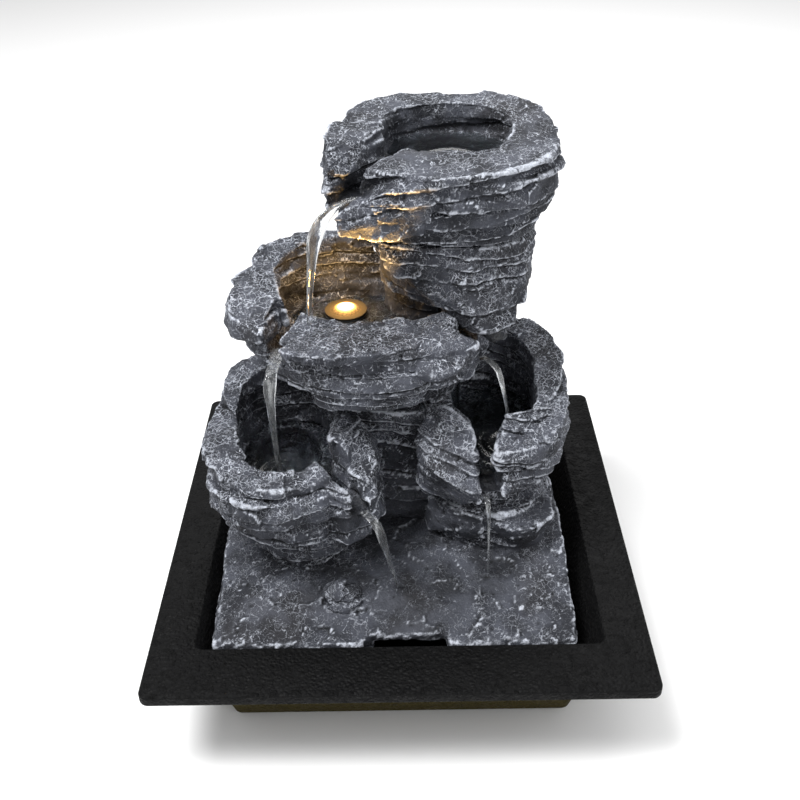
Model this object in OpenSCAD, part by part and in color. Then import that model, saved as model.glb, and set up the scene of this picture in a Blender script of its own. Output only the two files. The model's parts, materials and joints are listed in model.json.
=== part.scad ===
// Cascading tabletop water fountain: a cast rock tower with four bowls, standing in a wide-rimmed
// water tray, with a small submersible pump under the rock and a light in the middle bowl.
// Origin: middle of the footprint, on the table. +X right, +Y to the back, +Z up. Millimetres.

/* [Tray] */
// Side length of the square rim, left to right
tray_w = 210; // [170:1:260]
// Side length of the rim, front to back
tray_d = 210; // [170:1:260]
// Height of the rim's top above the table
tray_h = 50; // [44:1:64]
// Thickness of the flat rim
rim_t = 5; // [3:0.5:8]
// Width of the rim at the left and right
rim_side = 19; // [12:0.5:24]
// Width of the rim at the front and back
rim_front = 25.5; // [16:0.5:30]
// Corner radius of the rim
rim_corner = 4; // [1:0.5:8]
// Wall thickness of the basin
tray_wall = 2.5; // [1.5:0.25:4]
// Thickness of the basin's floor
tray_floor = 3; // [2:0.25:5]
// How far each side wall of the basin leans in from rim to floor
lean_side = 13.5; // [6:0.5:15]
// How far the front and back walls of the basin lean in
lean_front = 8; // [6:0.5:12]
// Diameter of a foot pad
foot_d = 13; // [8:0.5:18]
// Height of a foot pad
foot_h = 2; // [1:0.25:4]

/* [Rock tower] */
// Height of the tower's highest point above the rim
tower_rise = 187; // [150:1:230]
// Mean gap between slab and basin opening at the left and right
moat_side = 8; // [7:0.5:12]
// How far the slab sits left of the middle
slab_shift = 2.5; // [0:0.5:3]
// Gap between slab and basin opening at the front and back
moat_front = 5; // [4:0.5:9]
// Wall thickness of the hollow base
skirt_wall = 4; // [3:0.5:8]
// Height of the hollow under the slab
chamber_h = 37; // [36:0.5:44]
// Width of the water gate in the front of the base
gate_w = 34; // [20:1:44]
// Diameter of the round stone on the slab
pebble_d = 16; // [10:0.5:20]

/* [Hose] */
// Outside diameter of the riser hose
hose_od = 11; // [9:0.5:12]
// Bore of the riser hose
hose_id = 8; // [6:0.25:8.5]
// Room round the hose inside the castings
hose_room = 1; // [0.5:0.25:2]
// Clearance between the pump's nozzle and the hose
nozzle_fit = 0.08; // [0.02:0.01:0.1]
// Outside diameter of the collar in the top bowl
collar_d = 18; // [15:0.5:22]

/* [Pump] */
// Width of the pump housing
pump_w = 38; // [36:0.5:46]
// Height of the pump housing
pump_h = 29; // [27:0.5:30]
// Height of the suction cups under the pump
cup_h = 4; // [3:0.25:5]
// Diameter of a suction cup
cup_d = 11; // [8:0.5:13]
// Bore of the impeller chamber
volute_d = 24; // [20:0.5:25]
// Bore of the rotor well
well_d = 15; // [12:0.5:16]
// Diameter of the rotor shaft
shaft_d = 2.4; // [1.6:0.1:3]
// Running clearance between rotor and shaft
shaft_fit = 0.05; // [0.02:0.01:0.1]
// Travel of the inlet shutter
shutter_travel = 8; // [4:0.5:9]

/* [Light] */
// Diameter of the light capsule
lamp_d = 15; // [12:0.5:18]
// Depth of the capsule below its flange
lamp_depth = 12; // [10:0.5:14]
// Diameter of the capsule's lead
lead_d = 3; // [2:0.25:4]

/* [Hidden] */
$fn = 48;
eps = 0.01;

// ---- tray levels and plan -------------------------------------------------------------------
open_x = tray_w / 2 - rim_side;
open_y = tray_d / 2 - rim_front;
floor_z = foot_h + tray_floor;
rim_low = tray_h - rim_t;
foot_x = open_x - lean_side - foot_d / 2 - 4;
foot_y = open_y - lean_front - foot_d / 2 - 4;

// ---- rock plan: the castings are drawn on a 156 by 149 slab and follow the basin's opening ----
base_x = open_x - moat_side;
base_y = open_y - moat_front;
kx = base_x / 78;
ky = base_y / 74.5;
kz = tower_rise / 187;

// A height on the tower, given above the rim. It is kept to 1/64 mm so that stacked courses share their faces.
function level(h) = round(64 * (tray_h + h * kz)) / 64;

rise_front = -5;
rise_back = 6;
roof_z = floor_z + chamber_h;
gate_x = 5;
gate_rise = 1;
foot_inset_x = 12;
foot_inset_y = 9.5;
chamber_x = base_x - foot_inset_x - skirt_wall;
chamber_y = base_y - foot_inset_y - skirt_wall;

// ---- riser hose and pump plan -----------------------------------------------------------------
pump_nose = 10;
pump_tail = 35.5;
pump_gap = 1.5;
hose_x = 24 * kx;
hose_y = min(24 * ky, chamber_y - pump_tail - pump_gap);
pump_z = floor_z + cup_h;
pump_top = pump_z + pump_h;
axis_z = pump_z + pump_h / 2;
nozzle_od = hose_id - 2 * nozzle_fit;
nozzle_id = 5.5;
nozzle_h = 13;
shell_t = 2;
volute_depth = 14;
well_depth = 18;
bush_d = 5.4;
bush_l = 3;
back_cap_t = 2;
cover_t = 4;
eye_d = 15;
grille_depth = 13;
grille_t = 2;
shutter_t = 1.6;
rail_t = 1.6;
magnet_d = well_d - 1.4;
magnet_l = 15;
impeller_d = volute_d - 3;
impeller_l = 8;
blade_n = 6;
pump_front_y = hose_y - pump_nose;
pump_back_y = hose_y + pump_tail;
well_front_y = pump_front_y + volute_depth;
well_back_y = well_front_y + well_depth;
top_floor = 168;

// ---- light --------------------------------------------------------------------------------
lamp_x = -22 * kx;
lamp_y = 30 * ky;
lamp_floor = 96;
lamp_z = level(lamp_floor);
flange_d = lamp_d + 4;
flange_t = 1.5;
lamp_wall = 1.2;
seal_t = 1;
board_z = -4;
lead_room = 1;
connector_d = 7;
connector_l = 18;
lead_low = roof_z - connector_d / 2 - 1.5;
lead_bend = 8;

// ---- courses of rock: [lowest, highest above the rim, left, right, front, back] --------------
top_courses = [
    [146, 155, -12, 63, -7, 62],
    [155, 164, -19, 67, -10, 65],
    [164, 174, -24, 71, -13, 67],
    [174, 187, -25, 70, -13, 68]];
middle_courses = [
    [72, 84, -40, 30, -12, 46],
    [84, 95, -58, 38, -19, 50],
    [95, 106, -68, 42, -20, 52],
    [106, 118, -74, 40, -20, 55],
    [118, 128, -63, 0, 12, 55]];
left_courses = [
    [0, 14, -61, -20, -36, 22],
    [14, 27, -71, -15, -43, 24],
    [27, 40, -80, -13, -49, 27],
    [40, 53, -85, -13, -53, 30],
    [53, 65, -84, -16, -49, 30],
    [65, 80, -79, -34, -12, 31]];
right_courses = [
    [0, 14, 12, 72, -29, 50],
    [14, 26, 12, 70, -27, 50],
    [26, 40, 19, 68, -21, 52],
    [40, 54, 14, 75, -30, 54],
    [54, 68, 10, 79, -32, 55],
    [68, 82, 26, 77, -8, 55]];
column_courses = [
    [0, 26, -42, 52, -8, 67],
    [26, 50, -45, 54, -6, 69],
    [50, 66, -42, 54, -4, 68],
    [66, 96, -34, 46, 12, 68],
    [96, 114, -4, 56, 17, 68],
    [114, 130, -6, 62, 3, 67],
    [130, 146, -9, 62, -4, 66]];
lip_courses = [
    [84, 92, -34, 12, -29, -8],
    [92, 101, -39, 16, -31, -6],
    [101, 110, -44, 18, -28, -4]];
top_hollow = [
    [top_floor, 174, 0, 46, 12, 50],
    [174, 190, -6, 51, 8, 55]];
middle_hollow = [
    [lamp_floor, 104, -48, 36, 2, 46],
    [104, 136, -53, 38, -6, 50]];
left_hollow = [
    [28, 42, -64, -32, -32, 18],
    [42, 84, -71, -26, -38, 23]];
right_hollow = [
    [38, 52, 28, 58, -8, 40],
    [52, 86, 22, 64, -16, 46]];

// One course's outline: a rounded box with soft lumps that never leave the box.
function lump(a, seed) = 0.5 * sin(2 * a + 73 * seed) + 0.3 * sin(3 * a + 131 * seed)
                         + 0.2 * sin(5 * a + 37 * seed);
function round_corner(v) = sign(v) * pow(abs(v), 0.86);
function course_point(c, a, seed, rough) =
    let (r = 1 - rough * (0.5 - 0.5 * lump(a, seed)))
    [kx * ((c[2] + c[3]) / 2 + r * round_corner(cos(a)) * (c[3] - c[2]) / 2),
     ky * ((c[4] + c[5]) / 2 + r * round_corner(sin(a)) * (c[5] - c[4]) / 2)];
function course_outline(c, seed, rough, sides) =
    [for (i = [0 : sides - 1]) course_point(c, 360 * (i + 0.5) / sides, seed, rough)];

module courses(list, seed, rough = 0.07, sides = 18) {
    for (i = [0 : len(list) - 1])
        translate([0, 0, level(list[i][0])])
            linear_extrude(level(list[i][1]) - level(list[i][0]))
                polygon(course_outline(list[i], seed + i, rough, sides));
}

// A straight trough or lip in plan, from one point to another, level, between two heights.
module run(from, to, w_from, w_to, low, high) {
    dir = [kx * (to[0] - from[0]), ky * (to[1] - from[1])];
    side = [-dir[1], dir[0]] / norm(dir) / 2;
    a = [kx * from[0], ky * from[1]];
    b = [kx * to[0], ky * to[1]];
    translate([0, 0, level(low)])
        linear_extrude(level(high) - level(low))
            polygon([a + side * w_from, a - side * w_from, b - side * w_to, b + side * w_to]);
}

// Everything above a plane that climbs to the back: trims a bowl's rim to its slope.
module above_slope(y_low, z_low, slope) {
    translate([-tray_w, ky * y_low, level(z_low)])
        rotate([slope, 0, 0])
            translate([0, -tray_d, 0])
                cube([2 * tray_w, 2 * tray_d, tower_rise]);
}

// ---- tray -----------------------------------------------------------------------------------
module rounded_plate(w, d, h, r) {
    linear_extrude(h)
        hull()
            for (x = [-1, 1], y = [-1, 1])
                translate([x * (w / 2 - r), y * (d / 2 - r)])
                    circle(r, $fn = 32);
}

module basin(grow, z_low, z_high) {
    hull()
        for (z = [z_low, z_high - eps]) {
            lean = (tray_h - z) / (tray_h - foot_h);
            translate([0, 0, z])
                rounded_plate(2 * (open_x + grow - lean_side * lean),
                              2 * (open_y + grow - lean_front * lean), eps, 4);
        }
}

module tray() color([0.07, 0.07, 0.07]) {
    difference() {
        union() {
            translate([0, 0, rim_low])
                linear_extrude(rim_t)
                    rim_outline();
            basin(tray_wall, foot_h, rim_low + eps);
        }
        basin(0, floor_z, tray_h + 2 * eps);
    }
}

module rim_outline() {
    r = rim_corner;
    square([tray_w - 2 * r, tray_d], center = true);
    square([tray_w, tray_d - 2 * r], center = true);
    for (x = [-1, 1], y = [-1, 1])
        translate([x * (tray_w / 2 - r), y * (tray_d / 2 - r)])
            circle(r);
}

module foot_pads() color([0.15, 0.15, 0.15])
    for (x = [-1, 1], y = [-1, 1])
        translate([x * foot_x, y * foot_y, 0])
            cylinder(h = foot_h, d = foot_d);

// ---- rock castings ------------------------------------------------------------------------
rock_color = [0.27, 0.28, 0.31];

function slab_corner(x, y, a, seed) =
    let (r = 1 - 0.02 * (0.5 - 0.5 * lump(a, seed))) [x * r, y * r];
function slab_outline(half_x, half_y, seed) =
    [for (s = [[-1, -1], [-0.4, -1], [0.2, -1], [0.7, -1], [1, -1], [1, -0.3], [1, 0.4], [1, 1],
               [0.3, 1], [-0.5, 1], [-1, 1], [-1, 0.5], [-1, -0.2]])
        slab_corner(s[0] * half_x, s[1] * half_y, 90 * (s[0] + 2 * s[1]), seed)];

module base_blank() translate([-slab_shift, 0, 0]) {
    skirt_mid = (floor_z + roof_z) / 2;
    slab_low = roof_z - 4;
    translate([0, 0, floor_z])
        linear_extrude(skirt_mid - floor_z)
            polygon(slab_outline(base_x - foot_inset_x, base_y - foot_inset_y, 3));
    translate([0, 0, skirt_mid])
        linear_extrude(slab_low - skirt_mid)
            polygon(slab_outline(base_x - foot_inset_x / 2, base_y - foot_inset_y / 2, 4));
    intersection() {
        translate([0, 0, slab_low])
            linear_extrude(tray_h + rise_back - slab_low)
                polygon(slab_outline(base_x, base_y, 5));
        translate([-tray_w, 0, 0])
            rotate([90, 0, 90])
                linear_extrude(2 * tray_w)
                    polygon([[-tray_d, 0], [tray_d, 0], [tray_d, tray_h + rise_back],
                             [-20 * ky, tray_h + rise_back], [-base_y, tray_h + rise_front],
                             [-tray_d, tray_h + rise_front]]);
    }
}

// The hollow for the pump, with a gate at the front that lets the tray's water in.
module base_chamber() {
    translate([-chamber_x - slab_shift, -chamber_y, floor_z - eps])
        cube([2 * chamber_x, 2 * chamber_y, chamber_h + eps]);
    translate([gate_x - gate_w / 2, -base_y - 1, floor_z - eps])
        cube([gate_w, base_y - chamber_y + 2, chamber_h + gate_rise + eps]);
}

module hose_way()
    translate([hose_x, hose_y, floor_z])
        cylinder(h = tray_h + tower_rise, d = hose_od + 2 * hose_room);

module lamp_way()
    translate([lamp_x, lamp_y, 0]) {
        translate([0, 0, floor_z])
            cylinder(h = lamp_z - floor_z, d = lead_d + 2 * lead_room);
        translate([0, 0, lamp_z - lamp_depth])
            cylinder(h = lamp_depth + eps, d = lamp_d);
    }

module rock_base() color(rock_color)
    difference() {
        base_blank();
        base_chamber();
        hose_way();
        lamp_way();
    }

module top_blank()
    difference() {
        union() {
            courses(top_courses, 11);
            run([2, 22], [-18, -3], 34, 12, 155, 176);
        }
        above_slope(-14, 179, 5.4);
    }

module top_spout()
    run([6, 22], [-26, -14], 14, 8, 166, 190);

module top_bowl() color(rock_color)
    difference() {
        top_blank();
        courses(top_hollow, 21, 0.05);
        top_spout();
        hose_way();
    }

module middle_blank()
    difference() {
        courses(middle_courses, 31);
        above_slope(-22, 109, 15);
    }

module middle_spouts() {
    run([-44, 6], [-56, -26], 12, 8, lamp_floor, 140);
    run([24, 8], [44, -22], 14, 9, lamp_floor, 140);
}

module lip_blank() courses(lip_courses, 41, 0.06);

module middle_bowl() color(rock_color)
    difference() {
        middle_blank();
        courses(middle_hollow, 51, 0.05);
        middle_spouts();
        lip_blank();
        courses([column_courses[4], column_courses[5]], 95);
        lamp_way();
        hose_way();
    }

module lip_stone() color(rock_color)
    lip_blank();

module left_blank()
    difference() {
        union() {
            courses(left_courses, 61);
            run([-34, -24], [-16, -44], 28, 13, 27, 56);
        }
        above_slope(-52, 56, 15);
    }

module left_spout()
    run([-36, -20], [-8, -54], 14, 7, 42, 84);

module left_bowl() color(rock_color)
    difference() {
        left_blank();
        courses(left_hollow, 71, 0.05);
        left_spout();
        base_blank();
        middle_blank();
        lip_blank();
    }

module right_blank()
    difference() {
        courses(right_courses, 81);
        above_slope(-32, 62, 13);
    }

module right_spout()
    run([38, 0], [38, -40], 16, 8, 42, 86);

module right_bowl() color(rock_color)
    difference() {
        right_blank();
        courses(right_hollow, 91, 0.05);
        right_spout();
        base_blank();
        middle_blank();
        hose_way();
    }

module rock_column() color(rock_color)
    difference() {
        courses(column_courses, 91);
        base_blank();
        difference() {
            union() {
                left_blank();
                right_blank();
                middle_blank();
                top_blank();
            }
            courses([column_courses[4], column_courses[5]], 95);
        }
        hose_way();
        lamp_way();
    }

pebble_x = -25 * kx;
pebble_y = -51 * ky;
module pebble() color(rock_color)
    difference() {
        translate([pebble_x, pebble_y, tray_h + 1])
            sphere(d = pebble_d);
        base_blank();
    }

// ---- riser hose -----------------------------------------------------------------------------
hose_low = pump_top + 3;
hose_high = level(top_floor);

module riser_hose() color([0.8, 0.82, 0.84])
    translate([hose_x, hose_y, hose_low])
        difference() {
            cylinder(h = hose_high - hose_low, d = hose_od);
            translate([0, 0, -eps])
                cylinder(h = hose_high - hose_low + 2 * eps, d = hose_id);
        }

module hose_collar() color([0.1, 0.1, 0.1])
    translate([hose_x, hose_y, hose_high - 4])
        difference() {
            union() {
                cylinder(h = 4, d = hose_od + 2 * hose_room);
                translate([0, 0, 4])
                    cylinder(h = 2, d = collar_d);
            }
            translate([0, 0, -eps])
                cylinder(h = 4 + eps, d = hose_od);
            cylinder(h = 7, d = hose_id);
        }

// ---- light ----------------------------------------------------------------------------------
module lamp_at(z) translate([lamp_x, lamp_y, lamp_z + z]) children();

module lamp_body() color([0.12, 0.12, 0.12])
    difference() {
        union() {
            lamp_at(-lamp_depth)
                cylinder(h = lamp_depth, d = lamp_d);
            lamp_at(seal_t)
                cylinder(h = flange_t, d = flange_d);
            lamp_at(0)
                cylinder(h = seal_t, d = lamp_d);
        }
        lamp_at(2 - lamp_depth)
            cylinder(h = lamp_depth + seal_t + flange_t, d = lamp_d - 2 * lamp_wall);
        lamp_at(-lamp_depth - eps)
            cylinder(h = 3, d = lead_d);
    }

module lamp_seal() color([0.05, 0.05, 0.05])
    lamp_at(0)
        difference() {
            cylinder(h = seal_t, d = flange_d);
            translate([0, 0, -eps])
                cylinder(h = seal_t + 2 * eps, d = lamp_d);
        }

module lamp_board() color([0.75, 0.72, 0.6])
    lamp_at(board_z)
        cylinder(h = 1.2, d = lamp_d - 2 * lamp_wall);

module lamp_emitter() color([1, 0.85, 0.45])
    lamp_at(board_z + 1.2) {
        cylinder(h = 2, d = 5);
        translate([0, 0, 2])
            intersection() {
                sphere(d = 5);
                cylinder(h = 3, d = 6);
            }
    }

module lamp_lens() color([0.95, 0.95, 0.9])
    lamp_at(seal_t + flange_t)
        difference() {
            union() {
                cylinder(h = 1, d = flange_d);
                translate([0, 0, -flange_t])
                    cylinder(h = flange_t + eps, d = lamp_d - 2 * lamp_wall);
                translate([0, 0, 1])
                    dome(lamp_d - 2, 2);
            }
            translate([0, 0, -flange_t - eps])
                cylinder(h = flange_t, d = lamp_d - 2 * lamp_wall - 2);
        }

module dome(d, h) {
    r = (d * d / 4 + h * h) / (2 * h);
    intersection() {
        translate([0, 0, h - r])
            sphere(r);
        cylinder(h = h, d = d);
    }
}

// The lead drops from the capsule, bends under the slab's roof and runs to its connector.
lead_top = lamp_z - lamp_depth + 2;
lead_end_x = max(lamp_x - lead_bend - 6, connector_l + 1 - chamber_x - slab_shift);
lead_points = concat(
    [[lamp_x, lead_top], [lamp_x, (lead_top + lead_low) / 2], [lamp_x, lead_low + lead_bend]],
    [for (a = [15 : 15 : 90])
        [lamp_x - lead_bend * (1 - cos(a)), lead_low + lead_bend * (1 - sin(a))]],
    [[lead_end_x, lead_low]]);

function lead_ring(i) =
    let (n = len(lead_points),
         back = lead_points[max(i - 1, 0)],
         next = lead_points[min(i + 1, n - 1)],
         dir = (next - back) / norm(next - back),
         across = [-dir[1], dir[0]],
         p = lead_points[i])
    [for (k = [0 : 7])
        let (a = 45 * k, u = cos(a) * lead_d / 2, v = sin(a) * lead_d / 2)
        [p[0] + across[0] * u, lamp_y + v, p[1] + across[1] * u]];

module lamp_lead() color([0.08, 0.08, 0.08]) {
    n = len(lead_points);
    points = [for (i = [0 : n - 1]) each lead_ring(i)];
    sides = [for (i = [0 : n - 2], k = [0 : 7])
        [8 * i + k, 8 * i + (k + 1) % 8, 8 * (i + 1) + (k + 1) % 8, 8 * (i + 1) + k]];
    ends = [[for (k = [7 : -1 : 0]) k], [for (k = [0 : 7]) 8 * (n - 1) + k]];
    polyhedron(points, concat(sides, ends));
}

module lead_connector() color([0.1, 0.1, 0.1])
    translate([lead_end_x, lamp_y, lead_low])
        rotate([0, -90, 0]) {
            cylinder(h = 3, d1 = lead_d + 1.5, d2 = connector_d);
            translate([0, 0, 3])
                cylinder(h = connector_l - 6, d = connector_d);
            translate([0, 0, connector_l - 3])
                cylinder(h = 3, d = connector_d - 1.5);
        }

module lead_clip() color([0.85, 0.85, 0.85])
    translate([lead_end_x - connector_l / 2, lamp_y, lead_low])
        rotate([0, 90, 0])
            difference() {
                union() {
                    cylinder(h = 5, d = connector_d + 3, center = true);
                    translate([-connector_d / 2 - 1.5, -9, -2.5])
                        cube([1.5, 18, 5]);
                }
                cylinder(h = 6, d = connector_d, center = true);
            }

// ---- pump -----------------------------------------------------------------------------------
// The pump's parts are drawn along +Y from its front face, with the shaft on the axis.
module pump_axis(y)
    translate([hose_x, pump_front_y + y, axis_z])
        rotate([-90, 0, 0])
            children();

pump_l = pump_back_y - pump_front_y;
well_out = well_d + 2 * shell_t;
motor_y = volute_depth + shell_t;
well_end = volute_depth + well_depth;

module pump_housing() color([0.1, 0.11, 0.12])
    difference() {
        union() {
            translate([hose_x - pump_w / 2, pump_front_y, pump_z])
                cube([pump_w, pump_l, pump_h]);
            translate([hose_x, hose_y, pump_top - eps])
                cylinder(h = nozzle_h + eps, d = nozzle_od);
        }
        pump_axis(-eps)
            cylinder(h = volute_depth + eps, d = volute_d);
        pump_axis(volute_depth - eps)
            cylinder(h = well_depth + eps, d = well_d);
        pump_axis(well_end - eps)
            cylinder(h = bush_l - 1 + eps, d = bush_d);
        translate([hose_x, hose_y, axis_z])
            cylinder(h = pump_h + nozzle_h, d = nozzle_id);
        difference() {
            translate([hose_x - pump_w / 2 + shell_t, pump_front_y + motor_y, pump_z + shell_t + 1])
                cube([pump_w - 2 * shell_t, pump_l - motor_y + eps, pump_h - 2 * shell_t - 1]);
            pump_axis(0)
                cylinder(h = well_end + bush_l + 1, d = well_out);
        }
        translate([hose_x - pump_w / 2 - eps, pump_front_y + gland_y, axis_z])
            rotate([0, 90, 0])
                cylinder(h = shell_t + 2 * eps, d = gland_d);
        cup_places()
            translate([0, 0, pump_z - eps])
                cylinder(h = stud_l + eps, d = stud_d);
    }

module pump_back_cap() color([0.1, 0.11, 0.12])
    translate([hose_x - pump_w / 2 + shell_t, pump_back_y - back_cap_t, pump_z + shell_t + 1])
        cube([pump_w - 2 * shell_t, back_cap_t, pump_h - 2 * shell_t - 1]);

// The stator is a U of steel laminations round the rotor well, wound on its yoke.
leg_in = well_out / 2 + 0.3;
leg_t = 3.6;
core_h = 12;
coil_t = 1.8;
yoke_y = well_end + bush_l + 1 + coil_t + 0.1;
yoke_t = 3.2;
coil_half = leg_in - 0.3;

module stator_core() color([0.55, 0.56, 0.58])
    translate([hose_x, pump_front_y, axis_z - core_h / 2]) {
        for (x = [-leg_in - leg_t, leg_in])
            translate([x, motor_y + 3, 0])
                cube([leg_t, yoke_y + yoke_t - motor_y - 3, core_h]);
        translate([-leg_in - eps, yoke_y, 0])
            cube([2 * leg_in + 2 * eps, yoke_t, core_h]);
    }

module stator_coil() color([0.65, 0.33, 0.12])
    translate([hose_x, pump_front_y + yoke_y, axis_z])
        difference() {
            translate([-coil_half, -coil_t, -core_h / 2 - coil_t])
                cube([2 * coil_half, yoke_t + 2 * coil_t, core_h + 2 * coil_t]);
            translate([-coil_half - 1, 0, -core_h / 2])
                cube([2 * coil_half + 2, yoke_t, core_h]);
        }

gland_d = 6;
gland_y = yoke_y - 4;
module cable_gland() color([0.04, 0.04, 0.04])
    translate([hose_x - pump_w / 2, pump_front_y + gland_y, axis_z])
        rotate([0, -90, 0])
            difference() {
                union() {
                    translate([0, 0, -shell_t])
                        cylinder(h = shell_t, d = gland_d);
                    cylinder(h = 7, d = gland_d + 3);
                    translate([0, 0, 7])
                        cylinder(h = 5, d1 = gland_d + 1, d2 = gland_d - 1);
                }
                translate([0, 0, -shell_t - 1])
                    cylinder(h = 20, d = gland_d - 3);
            }

stud_d = 3;
stud_l = 2;
module cup_places()
    for (x = [-1, 1], y = [8, pump_l - 8])
        translate([hose_x + x * (pump_w / 2 - 7), pump_front_y + y, 0])
            children();

module suction_cups() color([0.1, 0.1, 0.1])
    cup_places()
        translate([0, 0, floor_z])
            rotate_extrude()
                polygon([[0, 1.2], [cup_d / 2 - 1.2, 0], [cup_d / 2, 0], [cup_d / 2, 0.6],
                         [stud_d, cup_h], [stud_d / 2, cup_h], [stud_d / 2, cup_h + stud_l],
                         [0, cup_h + stud_l]]);

// The front cover closes the impeller chamber and carries the front bush on three ribs.
module pump_cover() color([0.14, 0.15, 0.16]) {
    difference() {
        translate([hose_x - pump_w / 2, pump_front_y - cover_t, pump_z])
            cube([pump_w, cover_t, pump_h]);
        pump_axis(-cover_t - eps)
            cylinder(h = cover_t + 2 * eps, d = eye_d);
    }
    pump_axis(-cover_t)
        difference() {
            union() {
                cylinder(h = cover_t, d = bush_d + 3);
                for (a = [90 : 120 : 330])
                    rotate(a)
                        translate([0, -1, 0])
                            cube([eye_d / 2 + 0.5, 2, cover_t]);
            }
            translate([0, 0, cover_t - bush_l])
                cylinder(h = bush_l + eps, d = bush_d);
        }
}

grille_front_y = pump_front_y - cover_t - grille_depth;
slot_n = 6;
slot_w = 2.4;
slot_pitch = 4.6;
slot_h = 15;

module grille_slots(depth)
    for (i = [0 : slot_n - 1])
        translate([hose_x + (i - (slot_n - 1) / 2) * slot_pitch - slot_w / 2,
                   grille_front_y - eps, axis_z - slot_h / 2])
            cube([slot_w, depth, slot_h]);

module inlet_grille() color([0.14, 0.15, 0.16])
    difference() {
        union() {
            translate([hose_x - pump_w / 2, grille_front_y, pump_z])
                cube([pump_w, grille_depth, pump_h]);
            for (z = [-1, 1])
                shutter_rail(z);
        }
        translate([hose_x - pump_w / 2 + grille_t, grille_front_y + grille_t, pump_z + grille_t])
            cube([pump_w - 2 * grille_t, grille_depth, pump_h - 2 * grille_t]);
        grille_slots(grille_t + 2 * eps);
    }

shutter_h = slot_h + 3;
shutter_fit = 0.3;
module shutter_rail(side)
    translate([hose_x - pump_w / 2, grille_front_y, axis_z])
        mirror([0, 0, side < 0 ? 1 : 0])
            translate([0, -shutter_t - 2 * shutter_fit, shutter_h / 2 + shutter_fit]) {
                cube([pump_w, shutter_t + 2 * shutter_fit + eps, rail_t]);
                translate([0, -rail_t, -1.2])
                    cube([pump_w, rail_t + eps, rail_t + 1.2]);
            }

shutter_w = pump_w - shutter_travel - 2;
module inlet_shutter() color([0.75, 0.12, 0.1])
    translate([hose_x - pump_w / 2 + 1, grille_front_y - shutter_t - shutter_fit,
               axis_z - shutter_h / 2]) {
        difference() {
            cube([shutter_w, shutter_t, shutter_h]);
            for (i = [0 : 2])
                translate([4 + i * 2 * slot_pitch, -1, 3])
                    cube([slot_pitch, shutter_t + 2, shutter_h - 6]);
        }
        translate([shutter_w - 3, -3, shutter_h / 2 - 4])
            cube([2.4, 3 + eps, 8]);
    }

sponge_room = 0.2;
module filter_sponge() color([0.16, 0.2, 0.24])
    translate([hose_x - pump_w / 2 + grille_t + sponge_room, grille_front_y + grille_t + 0.3,
               pump_z + grille_t + sponge_room])
        cube([pump_w - 2 * (grille_t + sponge_room), grille_depth - grille_t - 2,
              pump_h - 2 * (grille_t + sponge_room)]);

// ---- rotor: magnet and impeller turn together on a fixed ceramic shaft -------------------------
hub_d = 8;
shaft_hole = shaft_d + 2 * shaft_fit;
impeller_y = volute_depth - impeller_l - 1.5;
magnet_y = volute_depth + 1;

module impeller() color([0.85, 0.85, 0.85])
    pump_axis(impeller_y)
        difference() {
            union() {
                cylinder(h = magnet_y - impeller_y, d = hub_d);
                translate([0, 0, impeller_l - 1.5])
                    cylinder(h = 1.5, d = impeller_d);
                for (i = [0 : blade_n - 1])
                    rotate(360 * i / blade_n)
                        translate([hub_d / 2 - 0.5, -0.6, 0])
                            cube([impeller_d / 2 - hub_d / 2 + 0.3, 1.2, impeller_l - 1.5 + eps]);
            }
            translate([0, 0, -eps])
                cylinder(h = 20, d = shaft_hole);
        }

module rotor_magnet() color([0.2, 0.2, 0.21])
    pump_axis(magnet_y)
        difference() {
            cylinder(h = magnet_l, d = magnet_d);
            translate([0, 0, -eps])
                cylinder(h = magnet_l + 2 * eps, d = shaft_hole);
        }

shaft_y = 0.6 - bush_l;
shaft_end = well_end + bush_l - 1.6;
module rotor_shaft() color([0.92, 0.92, 0.9])
    pump_axis(shaft_y)
        cylinder(h = shaft_end - shaft_y, d = shaft_d);

module shaft_bush_front() color([0.05, 0.05, 0.05])
    pump_axis(-bush_l)
        difference() {
            cylinder(h = bush_l, d = bush_d);
            translate([0, 0, 0.6])
                cylinder(h = bush_l, d = shaft_d + 2 * shaft_fit);
        }

module shaft_bush_rear() color([0.05, 0.05, 0.05])
    pump_axis(well_end)
        difference() {
            cylinder(h = bush_l - 1, d = bush_d);
            translate([0, 0, -eps])
                cylinder(h = shaft_end - well_end + eps, d = shaft_d);
        }

tray();
foot_pads();
rock_base();
rock_column();
top_bowl();
middle_bowl();
left_bowl();
right_bowl();
lip_stone();
pebble();
riser_hose();
hose_collar();
lamp_body();
lamp_lens();
lamp_board();
lamp_emitter();
lamp_seal();
lamp_lead();
lead_connector();
lead_clip();
pump_housing();
pump_back_cap();
stator_core();
stator_coil();
cable_gland();
suction_cups();
pump_cover();
inlet_grille();
filter_sponge();
inlet_shutter();
impeller();
rotor_magnet();
rotor_shaft();
shaft_bush_front();
shaft_bush_rear();
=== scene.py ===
"""Looks of a cascading tabletop fountain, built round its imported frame.

Every length inside the classes is in millimetres and is turned to metres where a mesh is made. The
frame's origin is the middle of the footprint on the table, with +X to the right, +Y to the back and
+Z up.
"""
import sys
import json
import logging
import math
from dataclasses import dataclass, field
from enum import Enum

import bmesh
import bpy
import numpy as np
from mathutils import Matrix, Vector


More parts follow.
